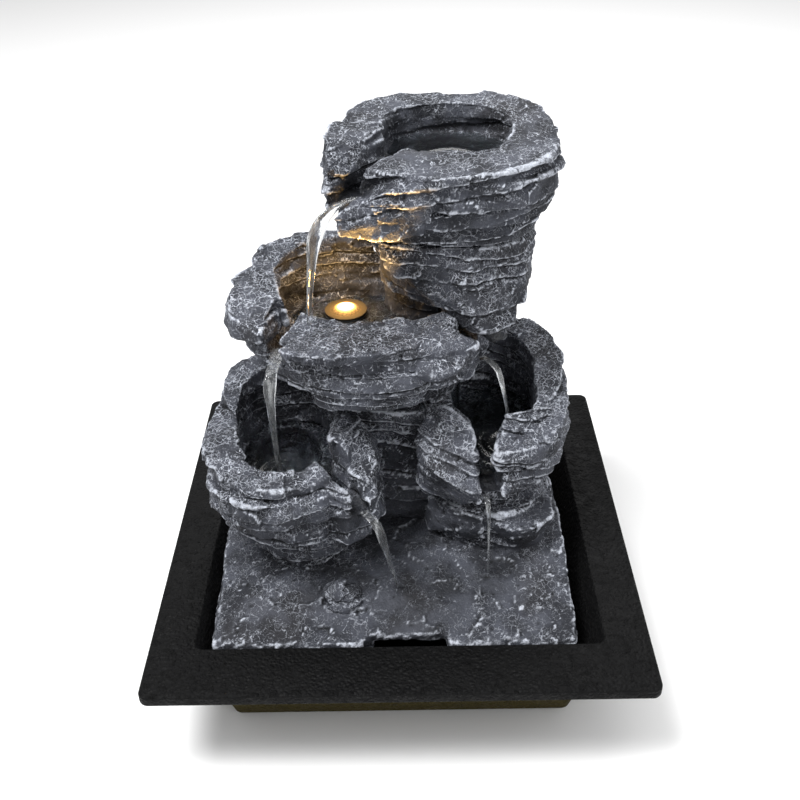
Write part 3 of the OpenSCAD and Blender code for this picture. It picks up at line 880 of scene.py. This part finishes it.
@dataclass
class Casting:
    """One rock casting, sculpted out of its CAD node."""

    node: str
    voxel: float
    grain: Grain = field(default_factory=Grain)
    stones: tuple[Stone | Shard, ...] = ()
    seed: int = 0

    def blank(self) -> bpy.types.Object:
        """Join the CAD shape and its stones, take the prints out, and remesh the lot evenly.

        Returns:
            The piece, ready to be sculpted.
        """
        bm = node_copy(self.node)
        for stone in self.stones:
            if stone.cut is Cut.ADD:
                stone.shape(bm)
        piece = new_piece(self.node + "_rock", bm)
        prints = [stone for stone in self.stones if stone.cut is Cut.PRINT]
        self.remesh(piece)
        if prints:
            bm = bmesh.new()
            for stone in prints:
                stone.shape(bm)
            tool = new_piece(self.node + "_prints", bm)
            self.remesh(tool)
            cutter = piece.modifiers.new("prints", "BOOLEAN")
            cutter.object = tool
            cutter.operation = "DIFFERENCE"
            cutter.solver = "EXACT"
            apply_modifiers(piece)
            bpy.data.objects.remove(tool)
            self.remesh(piece)
        return piece

    def remesh(self, piece: bpy.types.Object) -> None:
        """Rebuild a piece's mesh with even quads of the casting's voxel size.

        Args:
            piece: The piece to rebuild.
        """
        even = piece.modifiers.new("even", "REMESH")
        even.mode = "VOXEL"
        even.voxel_size = self.voxel * MM
        apply_modifiers(piece)

    def layers(self, p: np.ndarray, side: np.ndarray) -> np.ndarray:
        """Lay the slate: uneven courses with broken edges, sloped faces and tight joints.

        Args:
            p: The points.
            side: How upright the surface is at each point, from 0 to 1.

        Returns:
            How far each point moves out, in millimetres.
        """
        g = self.grain
        warp = g.warp * (Noise.rough(p, 34, 3) + 0.25 * Noise.rough(p, 9, 5))
        height = (p[:, 2] + g.lean[0] * p[:, 0] + g.lean[1] * p[:, 1] + warp + g.phase) / g.layer
        height += min(0.26, 0.08 * g.warp) * np.sin(2 * math.pi * height / 3.3 + self.seed)
        course = np.floor(height)
        f = height - course
        flat = np.column_stack([p[:, 0], p[:, 1], 31.7 * course])
        broken = Noise.flakes(flat * np.array([1, 1, 0.45]), 18, 7)
        shelf = np.column_stack([p[:, 0], p[:, 1], 53.1 * np.floor((course + 1) / 3)])
        steps = Noise.rough(flat, 26, 7, 3) + g.shelf * Noise.rough(shelf, 36, 15, 2)
        jut = g.jut * steps + g.chip * broken
        bulge = ease(f, 0.0, 0.16) * (1 - 0.8 * f) - 0.55
        nose = g.nose * bulge * (1 + 0.6 * Noise.soft(flat, 17, 9))
        thin = height * 3.3 + 0.9 * Noise.rough(p, 15, 11)
        flat_sheet = np.column_stack([p[:, 0], p[:, 1], 17.3 * np.floor(thin)])
        sheet = g.sheet * Noise.soft(flat_sheet, 12, 13)
        return side * (jut + nose + sheet)

    def sculpt(self, bores: tuple[Bore, ...], chamber: "Chamber", wet: "Wetness") -> bpy.types.Object:
        """Carve the relief, paint what the finish reads, and stand in for the CAD node.

        Args:
            bores: Ways that keep their shape.
            chamber: The hollow under the slab, which keeps its shape.
            wet: Where the rock is wet.

        Returns:
            The finished piece.
        """
        piece = self.blank()
        g = self.grain
        s = Sculpt(piece.data)
        start = s.points.copy()
        keep = np.ones(s.count)
        for bore in bores:
            keep *= 1 - bore.near(start)
        keep *= 1 - chamber.near(start)
        s.relax(g.soften)
        side = ease(1 - np.abs(s.normals()[:, 2]), 0.03, 0.40) * (1 - 0.7 * wet.at(s.points))
        flaked = Noise.flakes(s.points * np.array([1, 1, 1.9]), g.flake_size, 23)
        move = g.lump * Noise.rough(s.points, 26, 29) + g.flake * flaked
        s.push((move + self.layers(s.points, side)) * keep + 0.35)
        s.relax(1)
        chips = Noise.flakes(s.points + 1.2 * Noise.soft(s.points, 6, 41)[:, None], 6.5, 53)
        pit = ease(Noise.soft(s.points, 2.6, 61), 0.66, 0.9)
        fine = g.fine * (2 * chips + Noise.rough(s.points, 2.8, 67, 2)) - 0.4 * pit
        s.push(fine * keep)
        s.points = np.where(keep[:, None] < 0.02, start, s.points)
        self.fit_box(s)
        s.write()
        self.paint(s, pit, wet)
        piece.name = self.node + "_rock"
        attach(piece, ROCK)
        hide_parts(self.node)
        return piece

    def fit_box(self, s: Sculpt) -> None:
        """Keep the points between the bottom of the CAD piece and the top of it and its stones.

        Args:
            s: The sculpted mesh.
        """
        low, high = (corner.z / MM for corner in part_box(self.node))
        shards = [stone for stone in self.stones if isinstance(stone, Shard)]
        high = max([high, *(corner[2] for shard in shards for corner in shard.corners)])
        over = max(s.points[:, 2].max() - high, 0.0)
        s.points[:, 2] -= over * ease(s.points[:, 2], high - 14.0, high + over)
        s.points[:, 2] = np.maximum(s.points[:, 2], low + 0.02)

    def paint(self, s: Sculpt, pit: np.ndarray, wet: "Wetness") -> None:
        """Store where the surface is raised, sunk, wet and level; the finish paints shade where it is sunk.

        Args:
            s: The sculpted mesh.
            pit: Small holes, from 0 to 1.
            wet: Where the rock is wet.
        """
        near, far = s.relief(2), s.relief(12)
        up = s.normals()[:, 2]
        ridge = 0.95 * ease(near, 0.045, 0.19) + 0.30 * ease(far, 0.35, 1.3)
        # sunk places and pits, which the finish darkens as painted shade
        hollow = 0.95 * ease(near, -0.06, -0.26) + 0.50 * ease(far, -0.50, -1.9) + 0.4 * pit
        s.paint("ridge", ridge)
        s.paint("hollow", hollow)
        s.paint("wet", wet.at(s.points))
        s.paint("top", ease(up, -0.1, 0.8))
        s.paint("brush", np.full(s.count, self.grain.brush))


@dataclass(frozen=True)
class Chamber:
    """The pump's hollow under the slab."""

    half_x: float
    half_y: float
    shift: float
    roof: float

    def near(self, points: np.ndarray) -> np.ndarray:
        """Tell which points are on the hollow's walls or roof.

        Args:
            points: The points, in millimetres.

        Returns:
            1 on the hollow and 0 off it.
        """
        inside = (np.abs(points[:, 0] + self.shift) < self.half_x) & (np.abs(points[:, 1]) < self.half_y)
        return (inside & (points[:, 2] < self.roof)).astype(float)


@dataclass(frozen=True)
class Wetness:
    """Where water keeps the rock dark: round blobs, each a centre, a radius and a strength."""

    blobs: tuple[tuple[Point, float, float], ...]

    def at(self, points: np.ndarray) -> np.ndarray:
        """Work out how wet each point is.

        Args:
            points: The points, in millimetres.

        Returns:
            Values from 0 to 1.
        """
        edge = 0.25 * Noise.rough(points, 14, 83)
        total = np.zeros(len(points))
        for centre, radius, strength in self.blobs:
            away = np.linalg.norm(points - np.array(centre), axis=1) / radius + edge
            total = np.maximum(total, strength * ease(away, 1.0, 0.55))
        return total


class Tower:
    """The rock tower: seven castings and the round stone on the slab."""

    def __init__(self) -> None:
        """Read the places that the sculpting keeps clear."""
        hose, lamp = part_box("riser_hose"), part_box("lamp_body")
        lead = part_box("lamp_lead")
        hose_x, hose_y = ((hose[0][k] + hose[1][k]) / 2 / MM for k in range(2))
        lamp_x, lamp_y = ((lamp[0][k] + lamp[1][k]) / 2 / MM for k in range(2))
        hose_r = (hose[1].x - hose[0].x) / 2 / MM
        lamp_r = (lamp[1].x - lamp[0].x) / 2 / MM
        self.bores = (
            Bore(hose_x, hose_y, hose_r + 1, 0, 240),
            Bore(lamp_x, lamp_y, lamp_r, lamp[0].z / MM - 2, lamp[1].z / MM + 3),
            Bore(lamp_x, lamp_y, 3, lead[0].z / MM - 4, lamp[0].z / MM),
        )
        self.chamber = Chamber(64.6, 61.2, 2.5, 44)
        self.wet = Wetness((
            ((22, 31, 216), 31, 1.0),
            ((-12, -2, 216), 11, 0.8),
            ((-18, 24, 146), 34, 0.45),
            ((12, 22, 146), 28, 0.45),
            ((-52, -16, 150), 11, 0.6),
            ((38, -8, 148), 13, 0.7),
            ((-50, -6, 86), 30, 0.50),
            ((-20, -40, 92), 11, 0.6),
            ((42, 14, 92), 32, 0.62),
            ((38, -24, 98), 11, 0.8),
            ((0, -6, 56), 34, 0.45),
            ((-30, -44, 48), 18, 0.45),
            ((8, -48, 46), 30, 0.38),
            ((44, -36, 46), 20, 0.38),
        ))

    def castings(self) -> tuple[Casting, ...]:
        """List the castings, from the slab up.

        Returns:
            The seven castings and the round stone.
        """
        return (
            Casting("rock_base", 1.0, Grain(layer=9.0, jut=0.5, nose=0.8, chip=0.25, lump=0.4, flake=0.8,
                                             flake_size=11.0, fine=0.12, soften=2, brush=0.60), (
                Shard(((14, -14, 77), (24, -23, 77), (37, -29, 77), (38, -31, 71), (36, -28, 61),
                       (14, -19, 61), (12, -14, 66), (18, -2, 60), (38, -8, 60), (36, -8, 77))),
                Shard(((40, -29, 73), (50, -35, 73), (60, -33, 73), (69, -24, 73), (70, -12, 73),
                       (44, -24, 57), (52, -28, 56), (62, -25, 56), (68, -16, 57), (60, -4, 57),
                       (40, -10, 60), (42, -8, 74))),
                Shard(((-18, -80, 38), (-16, -69.4, 38), (20, -69.0, 38), (23, -80, 38), (-18, -80, 50),
                       (-16, -69.4, 50), (20, -69.0, 50), (23, -80, 50)), Cut.PRINT),
            ), seed=1),
            Casting("rock_column", 0.8, Grain(layer=8.5, lean=(0.10, -0.05), jut=2.6, shelf=1.0, nose=2.5,
                                              chip=0.3), (
                Shard(((-3, 3, 184), (-7, 6, 196), (11, 0, 174), (27, -7, 171), (41, -8, 153), (47, -3, 152),
                       (53, 5, 161), (56, 10, 173), (57, 12, 190), (30, -5, 192), (2, 30, 180), (50, 30, 150),
                       (30, 24, 150))),
            ), seed=2),
            Casting("left_bowl", 0.65, Grain(layer=8.0, lean=(-0.14, 0.12)), (
                Shard(((-29, -4, 110), (-24, -7, 118), (-14, -12, 115), (-10, -24, 109), (-10, -40, 101),
                       (-11, -48, 97), (-20, -27, 108), (-29, -14, 108), (-26, -4, 90), (-6, -8, 90),
                       (-6, -34, 84), (-10, -44, 88), (-17, -28, 92))),
            ), seed=3),
            Casting("right_bowl", 0.65, Grain(layer=6.5, lean=(0.34, 0.08), soften=3), (
                Shard(((12, -11, 122), (21, -12, 125), (27, -16, 122), (32, -20, 118), (33, -25, 112),
                       (34.5, -32, 101), (36, -38, 92), (31, -38, 96), (18, -33, 103), (12, -28, 107),
                       (8, -20, 111), (14, -4, 104), (29, -17, 104), (33, -18, 90), (30, -28, 84),
                       (12, -18, 84))),
                Shard(((46, -18, 123), (57, -14, 124), (68, -7, 120), (74, -7, 101), (70, -13, 97),
                       (58, -23, 101), (52, -29, 101), (45, -37, 94), (46, -27, 111), (46, -22, 117),
                       (47, -15, 100), (60, -15, 100), (68, -2, 104), (47, -20, 90), (54, -18, 90))),
                Stone((43, 15, 98), (43, 62, 17), square=0.6, cut=Cut.PRINT),
            ), seed=4),
            Casting("middle_bowl", 0.65, Grain(layer=7.0, lean=(0.0, 0.10)), (
                Shard(((8, -21, 161), (13, -9, 164), (21, -12, 164), (28, -17, 159), (34, -15, 157),
                       (27, -24, 152), (18, -29, 150), (9, -27, 152), (12, -4, 148), (28, -4, 148),
                       (22, -18, 141), (10, -16, 140))),
                Stone((-8, 20, 152), (92, 54, 11), square=0.6, cut=Cut.PRINT),
            ), seed=5),
            Casting("lip_stone", 0.5, Grain(layer=6.6, phase=1.4, warp=0.9, lean=(0.0, 0.0), jut=1.5,
                                            nose=2.2, chip=0.8, lump=0.5, flake=0.5, soften=3, brush=1.55), (
                Shard(((-46, -23, 161), (-41, -13, 162), (-30, -7, 163), (-8, -5, 164), (8, -8, 163),
                       (13, -15, 162), (9, -25, 162), (-6, -31, 163), (-24, -33, 163), (-41, -30, 162),
                       (-44, -23, 158), (-38, -12, 158), (8, -10, 158), (7, -24, 158), (-22, -31, 158),
                       (-39, -28, 158))),
            ), seed=6),
            Casting("top_bowl", 0.65, Grain(layer=8.5, lean=(-0.10, 0.10), jut=2.4, shelf=0.8, brush=0.82), (
                Shard(((-25.5, 15, 236.4), (-22.5, 33, 236.4), (-3, 30, 236), (-10, 14, 235.5),
                       (-24.5, -3, 229), (-25, -6, 214), (-25.5, 12, 208), (-12, 20, 208), (-17, 36, 212))),
                Shard(((12, 15, 228), (2, -13, 226), (-8, -4, 221), (-22, -17, 215), (-20, -19, 208),
                       (0, -18, 205), (12, -15, 206), (-14, -9, 206), (12, 8, 206), (20, -13, 226))),
                Stone((22.5, 31.5, 225.4), (55, 45, 13), square=0.6, cut=Cut.PRINT),
            ), seed=7),
            Casting("pebble", 0.33, Grain(layer=40.0, jut=0.0, nose=0.0, chip=0.0, sheet=0.0, lump=0.5,
                                          flake=1.5, flake_size=6.0, soften=2), seed=8),
        )

    def build(self, finishes: Finishes) -> None:
        """Sculpt and dress each casting.

        Args:
            finishes: The fountain's finishes.
        """
        for casting in self.castings():
            piece = casting.sculpt(self.bores, self.chamber, self.wet)
            shade(piece, finishes["rock"])
            report(piece)


# ---- water --------------------------------------------------------------------------------------
@dataclass(frozen=True)
class Pool:
    """Standing water in a bowl, with rings round the place where a stream lands."""

    name: str
    centre: Point
    size: tuple[float, float]
    depth: float
    landing: tuple[float, float]
    ring: float = 0.35
    wave: float = 5.0
    steps: int = 56

    def build(self, finishes: Finishes) -> None:
        """Model the water as a closed body, whose sides and bottom are inside the rock.

        Args:
            finishes: The fountain's finishes.
        """
        bm = bmesh.new()
        bmesh.ops.create_grid(bm, x_segments=self.steps, y_segments=self.steps, size=1.0)
        outside = [v for v in bm.verts if v.co.x**2 + v.co.y**2 > 1.0]
        bmesh.ops.delete(bm, geom=outside, context="VERTS")
        bmesh.ops.scale(bm, vec=(self.size[0] / 2, self.size[1] / 2, 1), verts=bm.verts)
        bmesh.ops.translate(bm, vec=self.centre, verts=bm.verts)
        floor = bmesh.ops.extrude_face_region(bm, geom=bm.faces[:])["geom"]
        sunk = [v for v in floor if isinstance(v, bmesh.types.BMVert)]
        bmesh.ops.translate(bm, vec=(0, 0, -self.depth), verts=sunk)
        top = set(bm.verts) - set(sunk)
        for v in top:
            away = math.hypot(v.co.x - self.landing[0], v.co.y - self.landing[1])
            swell = math.cos(2 * math.pi * away / self.wave) * math.exp(-away / (2 * self.wave))
            v.co.z += self.ring * swell
        bmesh.ops.recalc_face_normals(bm, faces=bm.faces)
        piece = new_piece(self.name, bm)
        shade(piece, finishes["water"])
        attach(piece, ROCK)
        report(piece)


@dataclass(frozen=True)
class Section:
    """One cross section of a stream: its middle, and how wide and thick the water is there."""

    centre: Point
    width: float
    thick: float


@dataclass(frozen=True)
class Stream:
    """A falling ribbon of water, broad at the spout and drawn thin below."""

    name: str
    sections: tuple[Section, ...]
    face: float = 0.0
    twist: float = 40.0
    sides: int = 16
    steps: int = 6

    def along(self) -> list[tuple[Vector, float, float]]:
        """Fill in smooth sections between the given ones.

        Returns:
            The middle, width and thickness of each section, from the spout down.
        """
        keys = [(Vector(s.centre), s.width, s.thick) for s in self.sections]
        keys = [keys[0], *keys, keys[-1]]
        rows = []
        for a, b, c, d in zip(keys, keys[1:], keys[2:], keys[3:]):
            for k in range(self.steps):
                t = k / self.steps
                weights = (-t + 2 * t**2 - t**3, 2 - 5 * t**2 + 3 * t**3,
                           t + 4 * t**2 - 3 * t**3, t**3 - t**2)
                pairs = list(zip(weights, (a, b, c, d)))
                mixed = [sum((w * p[i] / 2 for w, p in pairs), 0 * a[i]) for i in range(3)]
                rows.append(tuple(mixed))
        return [*rows, keys[-1]]

    def build(self, finishes: Finishes) -> None:
        """Skin the sections, pinched as falling water necks.

        Args:
            finishes: The fountain's finishes.
        """
        bm = bmesh.new()
        rows = self.along()
        rings = []
        for k, (centre, width, thick) in enumerate(rows):
            t = k / (len(rows) - 1)
            neck = 1 + 0.10 * math.sin(14 * t + 1.3) + 0.06 * math.sin(31 * t)
            turn = Matrix.Rotation(math.radians(self.face + self.twist * t), 3, "Z")
            ring = []
            for j in range(self.sides):
                angle = 2 * math.pi * j / self.sides
                ripple = 1 + 0.08 * math.sin(3 * angle + 11 * t)
                offset = Vector((width / 2 * neck * math.cos(angle), thick / 2 * ripple * math.sin(angle), 0))
                ring.append(bm.verts.new(centre + turn @ offset))
            rings.append([bm.edges.new((ring[j - 1], ring[j])) for j in range(self.sides)])
        for upper, lower in zip(rings, rings[1:]):
            bmesh.ops.bridge_loops(bm, edges=upper + lower)
        bmesh.ops.holes_fill(bm, edges=rings[0] + rings[-1], sides=self.sides)
        bmesh.ops.recalc_face_normals(bm, faces=bm.faces)
        piece = new_piece(self.name, bm)
        smooth = piece.modifiers.new("smooth", "SUBSURF")
        smooth.levels = smooth.render_levels = 1
        shade(piece, finishes["falling_water"])
        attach(piece, ROCK)
        report(piece)


@dataclass(frozen=True)
class Water:
    """All the water that runs over the tower."""

    pools: tuple[Pool, ...] = (
        Pool("top_pool", (21, 31, 221.6), (64, 52), 5.0, (24, 24), 0.5, 6.5),
        Pool("middle_pool", (-8, 21, 148.0), (96, 60), 3.5, (-38, 2), 0.3),
        Pool("left_pool", (-48, -8, 95.5), (58, 72), 8.0, (-51, -18), 0.5),
        Pool("right_pool", (43, 15, 95.5), (54, 72), 8.0, (51, 0), 0.4),
    )
    streams: tuple[Stream, ...] = (
        Stream("top_fall", (
            Section((-14, -7, 219.0), 6, 1.6), Section((-21, -13.5, 218.0), 7, 1.8),
            Section((-26.5, -16.0, 213), 8.6, 2.2), Section((-30, -15, 203), 6.2, 2.4),
            Section((-32.5, -12, 187), 4.0, 2.2), Section((-34.5, -7.5, 169), 2.8, 2.0),
            Section((-36, -2, 147.5), 2.0, 1.8)), 18),
        Stream("middle_left_fall", (
            Section((-48.5, -6, 151.4), 5.5, 1.2), Section((-49.5, -15, 150.6), 6.0, 1.3),
            Section((-50.5, -23.5, 149.4), 5.6, 1.6), Section((-51.2, -26.5, 143), 4.8, 1.9),
            Section((-51.5, -26, 128), 3.4, 1.9), Section((-51.5, -23.5, 110), 2.6, 1.8),
            Section((-51.3, -20, 94.5), 2.0, 1.6)), 5),
        Stream("middle_right_fall", (
            Section((36, -12, 149.4), 3.2, 1.0), Section((41.5, -18.5, 148.4), 3.2, 1.1),
            Section((44.5, -18.5, 140), 2.4, 1.1), Section((48.5, -13, 118), 1.7, 1.0),
            Section((51, -4, 94.5), 1.3, 0.9)), 20),
        Stream("left_fall", (
            Section((-14, -45, 94.4), 4.0, 1.3), Section((-9.5, -51.2, 93.4), 4.6, 1.5),
            Section((-7.0, -53, 88), 4.2, 1.7), Section((-4.0, -51.5, 73), 2.8, 1.5),
            Section((-1.5, -48, 58), 1.8, 1.1), Section((0.0, -45, 46.4), 1.1, 0.8)), 25),
        Stream("right_fall", (
            Section((38, -34, 93.4), 3.0, 0.8), Section((38.5, -39.5, 92.2), 2.4, 0.8),
            Section((39, -41, 84), 1.5, 0.8), Section((39.5, -40.5, 66), 1.0, 0.7),
            Section((39.5, -39.5, 48.6), 0.8, 0.6)), 0),
    )

    def build(self, finishes: Finishes) -> None:
        """Model the pools and streams."""
        for body in (*self.pools, *self.streams):
            body.build(finishes)


# ---- tray, pump and light -----------------------------------------------------------------------
@dataclass(frozen=True)
class Refined:
    """CAD pieces that keep their shape and get eased edges."""

    edges: tuple[tuple[str, float], ...] = (
        ("tray", 0.7), ("foot_pads", 0.4), ("pump_housing", 0.8), ("pump_back_cap", 0.3), ("pump_cover", 0.5),
        ("inlet_grille", 0.35), ("inlet_shutter", 0.25), ("lamp_body", 0.2), ("lead_connector", 0.3),
        ("lead_clip", 0.3), ("filter_sponge", 0.6), ("impeller", 0.15), ("rotor_magnet", 0.3),
        ("suction_cups", 0.15), ("cable_gland", 0.25), ("hose_collar", 0.3),
    )
    crease: float = 32
    smooth_below: float = 35
    flat_within: float = 0.5
    outer_wall: float = 60

    def bodies(self) -> dict[str, str]:
        """Find which body each node rides on."""
        groups = frame["record"]["behaviour"]["bodies"]
        return {node: body for body, nodes in groups.items() for node in nodes}

    def eased(self, node: str, width: float) -> bmesh.types.BMesh:
        """Bevel the creases of a node's copy, and mark the parts that face out and down.

        Args:
            node: The CAD node's name.
            width: The bevel's width, in millimetres.

        Returns:
            The eased shape, in millimetres.
        """
        bm = node_copy(node)
        flat = math.radians(self.flat_within)
        bmesh.ops.dissolve_limit(bm, angle_limit=flat, verts=bm.verts, edges=bm.edges)
        crease = math.radians(self.crease)
        sharp = [e for e in bm.edges if e.is_manifold and e.calc_face_angle(0) > crease]
        bmesh.ops.bevel(bm, geom=sharp, offset=width, offset_type="OFFSET", segments=2, profile=0.5,
                        affect="EDGES", clamp_overlap=True, material=-1)
        outside = bm.verts.layers.float.new("outside")
        for v in bm.verts:
            v[outside] = float(v.normal.z < 0.2 and max(abs(v.co.x), abs(v.co.y)) > self.outer_wall)
        return bm

    def build(self, finishes: Finishes, slots: dict[str, str]) -> None:
        """Model each piece from its node, dress it and let it stand for the node.

        Args:
            finishes: The fountain's finishes.
            slots: Each node's material slot.
        """
        body_of = self.bodies()
        for node, width in self.edges:
            piece = new_piece(node + "_shell", self.eased(node, width))
            shade(piece, finishes[slots[node]])
            piece.data.set_sharp_from_angle(angle=math.radians(self.smooth_below))
            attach(piece, body_of[node])
            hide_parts(node)
            report(piece)


def dress_nodes(finishes: Finishes, slots: dict[str, str]) -> None:
    """Give every CAD node that still shows its finish.

    Args:
        finishes: The fountain's finishes.
        slots: Each node's material slot.
    """
    for node, piece in frame["nodes"].items():
        if not piece.hide_render:
            piece.data.materials.clear()
            piece.data.materials.append(finishes[slots[node]])
            LOG.info("%s: finish %s", node, slots[node])


# ---- studio -------------------------------------------------------------------------------------
@dataclass(frozen=True)
class Panel:
    """A soft square light: its place in metres, its side in metres and its power in watts."""

    name: str
    place: Point
    size: float
    power: float

    def hang(self, target: Point) -> None:
        """Hang the light so that it looks at a target.

        Args:
            target: What it looks at, in metres.
        """
        data = bpy.data.lights.new(self.name, "AREA")
        data.size = self.size
        data.energy = self.power
        light = bpy.data.objects.new(self.name, data)
        turn = (Vector(target) - Vector(self.place)).to_track_quat("-Z", "Y").to_matrix().to_4x4()
        light.matrix_world = Matrix.Translation(self.place) @ turn
        bpy.context.scene.collection.objects.link(light)


@dataclass(frozen=True)
class Studio:
    """The camera, the lights and the pale floor."""

    eye: Point = (5.155, -380.333, 379.628)
    yaw: float = 0.5169
    pitch: float = 34.3293
    roll: float = -1.2892
    lens: float = 46.876
    sensor: float = 36.0
    floor_size: float = 8.0
    sky: float = 0.54
    floor_white: float = 0.93
    middle: Point = (0, 0, 0.1)
    panels: tuple[Panel, ...] = (
        Panel("key_panel", (-0.40, -0.25, 1.10), 0.45, 15.5),
        Panel("fill_panel", (0.75, -0.55, 0.80), 0.7, 4.0),
        Panel("back_panel", (0.15, 0.85, 0.95), 0.7, 6.0),
    )

    def camera(self) -> None:
        """Set the camera, a little above the fountain and in front of it."""
        yaw, pitch, roll = (math.radians(a) for a in (self.yaw, self.pitch, self.roll))
        level = Vector((-math.sin(yaw), math.cos(yaw), 0)) * math.cos(pitch)
        ahead = level - Vector((0, 0, math.sin(pitch)))
        right = Vector((math.cos(yaw), math.sin(yaw), 0))
        up = right.cross(ahead)
        turned_right = right * math.cos(roll) + up * math.sin(roll)
        turned_up = up * math.cos(roll) - right * math.sin(roll)
        data = bpy.data.cameras.new("camera")
        data.lens = self.lens
        data.sensor_width = self.sensor
        camera = bpy.data.objects.new("camera", data)
        turn = Matrix((turned_right, turned_up, -ahead)).transposed().to_4x4()
        camera.matrix_world = Matrix.Translation(Vector(self.eye) * MM) @ turn
        bpy.context.scene.collection.objects.link(camera)
        bpy.context.scene.camera = camera

    def floor(self) -> None:
        """Lay the pale floor under the feet."""
        bm = bmesh.new()
        bmesh.ops.create_grid(bm, x_segments=1, y_segments=1, size=self.floor_size / 2 / MM)
        floor = new_piece("floor", bm)
        s = Shader("pale_floor")
        s.set(Base_Color=(*(self.floor_white,) * 3, 1), Roughness=0.9, Specular_IOR_Level=0.1)
        shade(floor, s.material, False)

    def sky_light(self) -> None:
        """Fill the surroundings with an even white light."""
        world = bpy.data.worlds.new("studio")
        world.use_nodes = True
        back = world.node_tree.nodes["Background"]
        back.inputs["Color"].default_value = (1, 1, 1, 1)
        back.inputs["Strength"].default_value = self.sky
        bpy.context.scene.world = world

    def build(self) -> None:
        """Set the stage."""
        self.camera()
        self.floor()
        self.sky_light()
        for panel in self.panels:
            panel.hang(self.middle)
        bpy.context.scene.view_settings.view_transform = "Standard"
        LOG.info("studio: camera, floor and %d panels", len(self.panels))


@dataclass(frozen=True)
class Lamp:
    """The warm light of the capsule, and what it throws on the rock above it."""

    colour: Colour = (1.0, 0.56, 0.15)
    halo_power: float = 0.022
    halo_height: float = 11
    source_radius: float = 3
    soft_edge: float = 0.8
    glints: tuple[tuple[Point, Point, float, float], ...] = (
        ((-22, 29, 170), (-22, 30, 146), 0.45, 66),
        ((-14, -32, 176), (-8, -17, 209), 0.95, 46),
        ((-14, -14, 168), (-2, 2, 192), 0.22, 30),
    )

    def hang(self, light: bpy.types.Light, place: Vector, turn: Matrix | None = None) -> None:
        """Put a warm light in place on the tower.

        Args:
            light: The light's data.
            place: Where it is, in metres.
            turn: Which way it is turned, or None.
        """
        light.color = self.colour
        light.shadow_soft_size = self.source_radius * MM
        hung = bpy.data.objects.new(light.name, light)
        hung.matrix_world = Matrix.Translation(place) @ (turn or Matrix.Identity(4))
        bpy.context.scene.collection.objects.link(hung)
        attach(hung, ROCK)

    def centre(self) -> tuple[float, float]:
        """Find the light's place in plan, in millimetres."""
        low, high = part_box("lamp_lens")
        return (low.x + high.x) / 2 / MM, (low.y + high.y) / 2 / MM

    def build(self) -> None:
        """Place the halo over the lens and the glints that reach the ledges above."""
        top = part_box("lamp_lens")[1].z
        halo = bpy.data.lights.new("lamp_halo", "POINT")
        halo.energy = self.halo_power
        x, y = self.centre()
        self.hang(halo, Vector((x * MM, y * MM, top + self.halo_height * MM)))
        for k, (source, target, power, angle) in enumerate(self.glints):
            glint = bpy.data.lights.new(f"lamp_glint_{k}", "SPOT")
            glint.energy = power
            glint.spot_size = math.radians(angle)
            glint.spot_blend = self.soft_edge
            aim = Vector(target) - Vector(source)
            self.hang(glint, Vector(source) * MM, aim.to_track_quat("-Z", "Y").to_matrix().to_4x4())
        LOG.info("lamp: halo and %d glints", len(self.glints))


def main() -> None:
    """Build the fountain's looks, piece by piece."""
    logging.basicConfig(level=logging.INFO, format="%(name)s: %(message)s", stream=sys.stdout)
    slots = {part["node"]: part["material_slot"] for part in frame["record"]["subparts"]}
    studio = Studio()
    studio.build()
    lamp = Lamp()
    finishes = Finishes(lamp.centre())
    Tower().build(finishes)
    Water().build(finishes)
    Refined().build(finishes, slots)
    dress_nodes(finishes, slots)
    lamp.build()


if __name__ == "__main__":
    main()
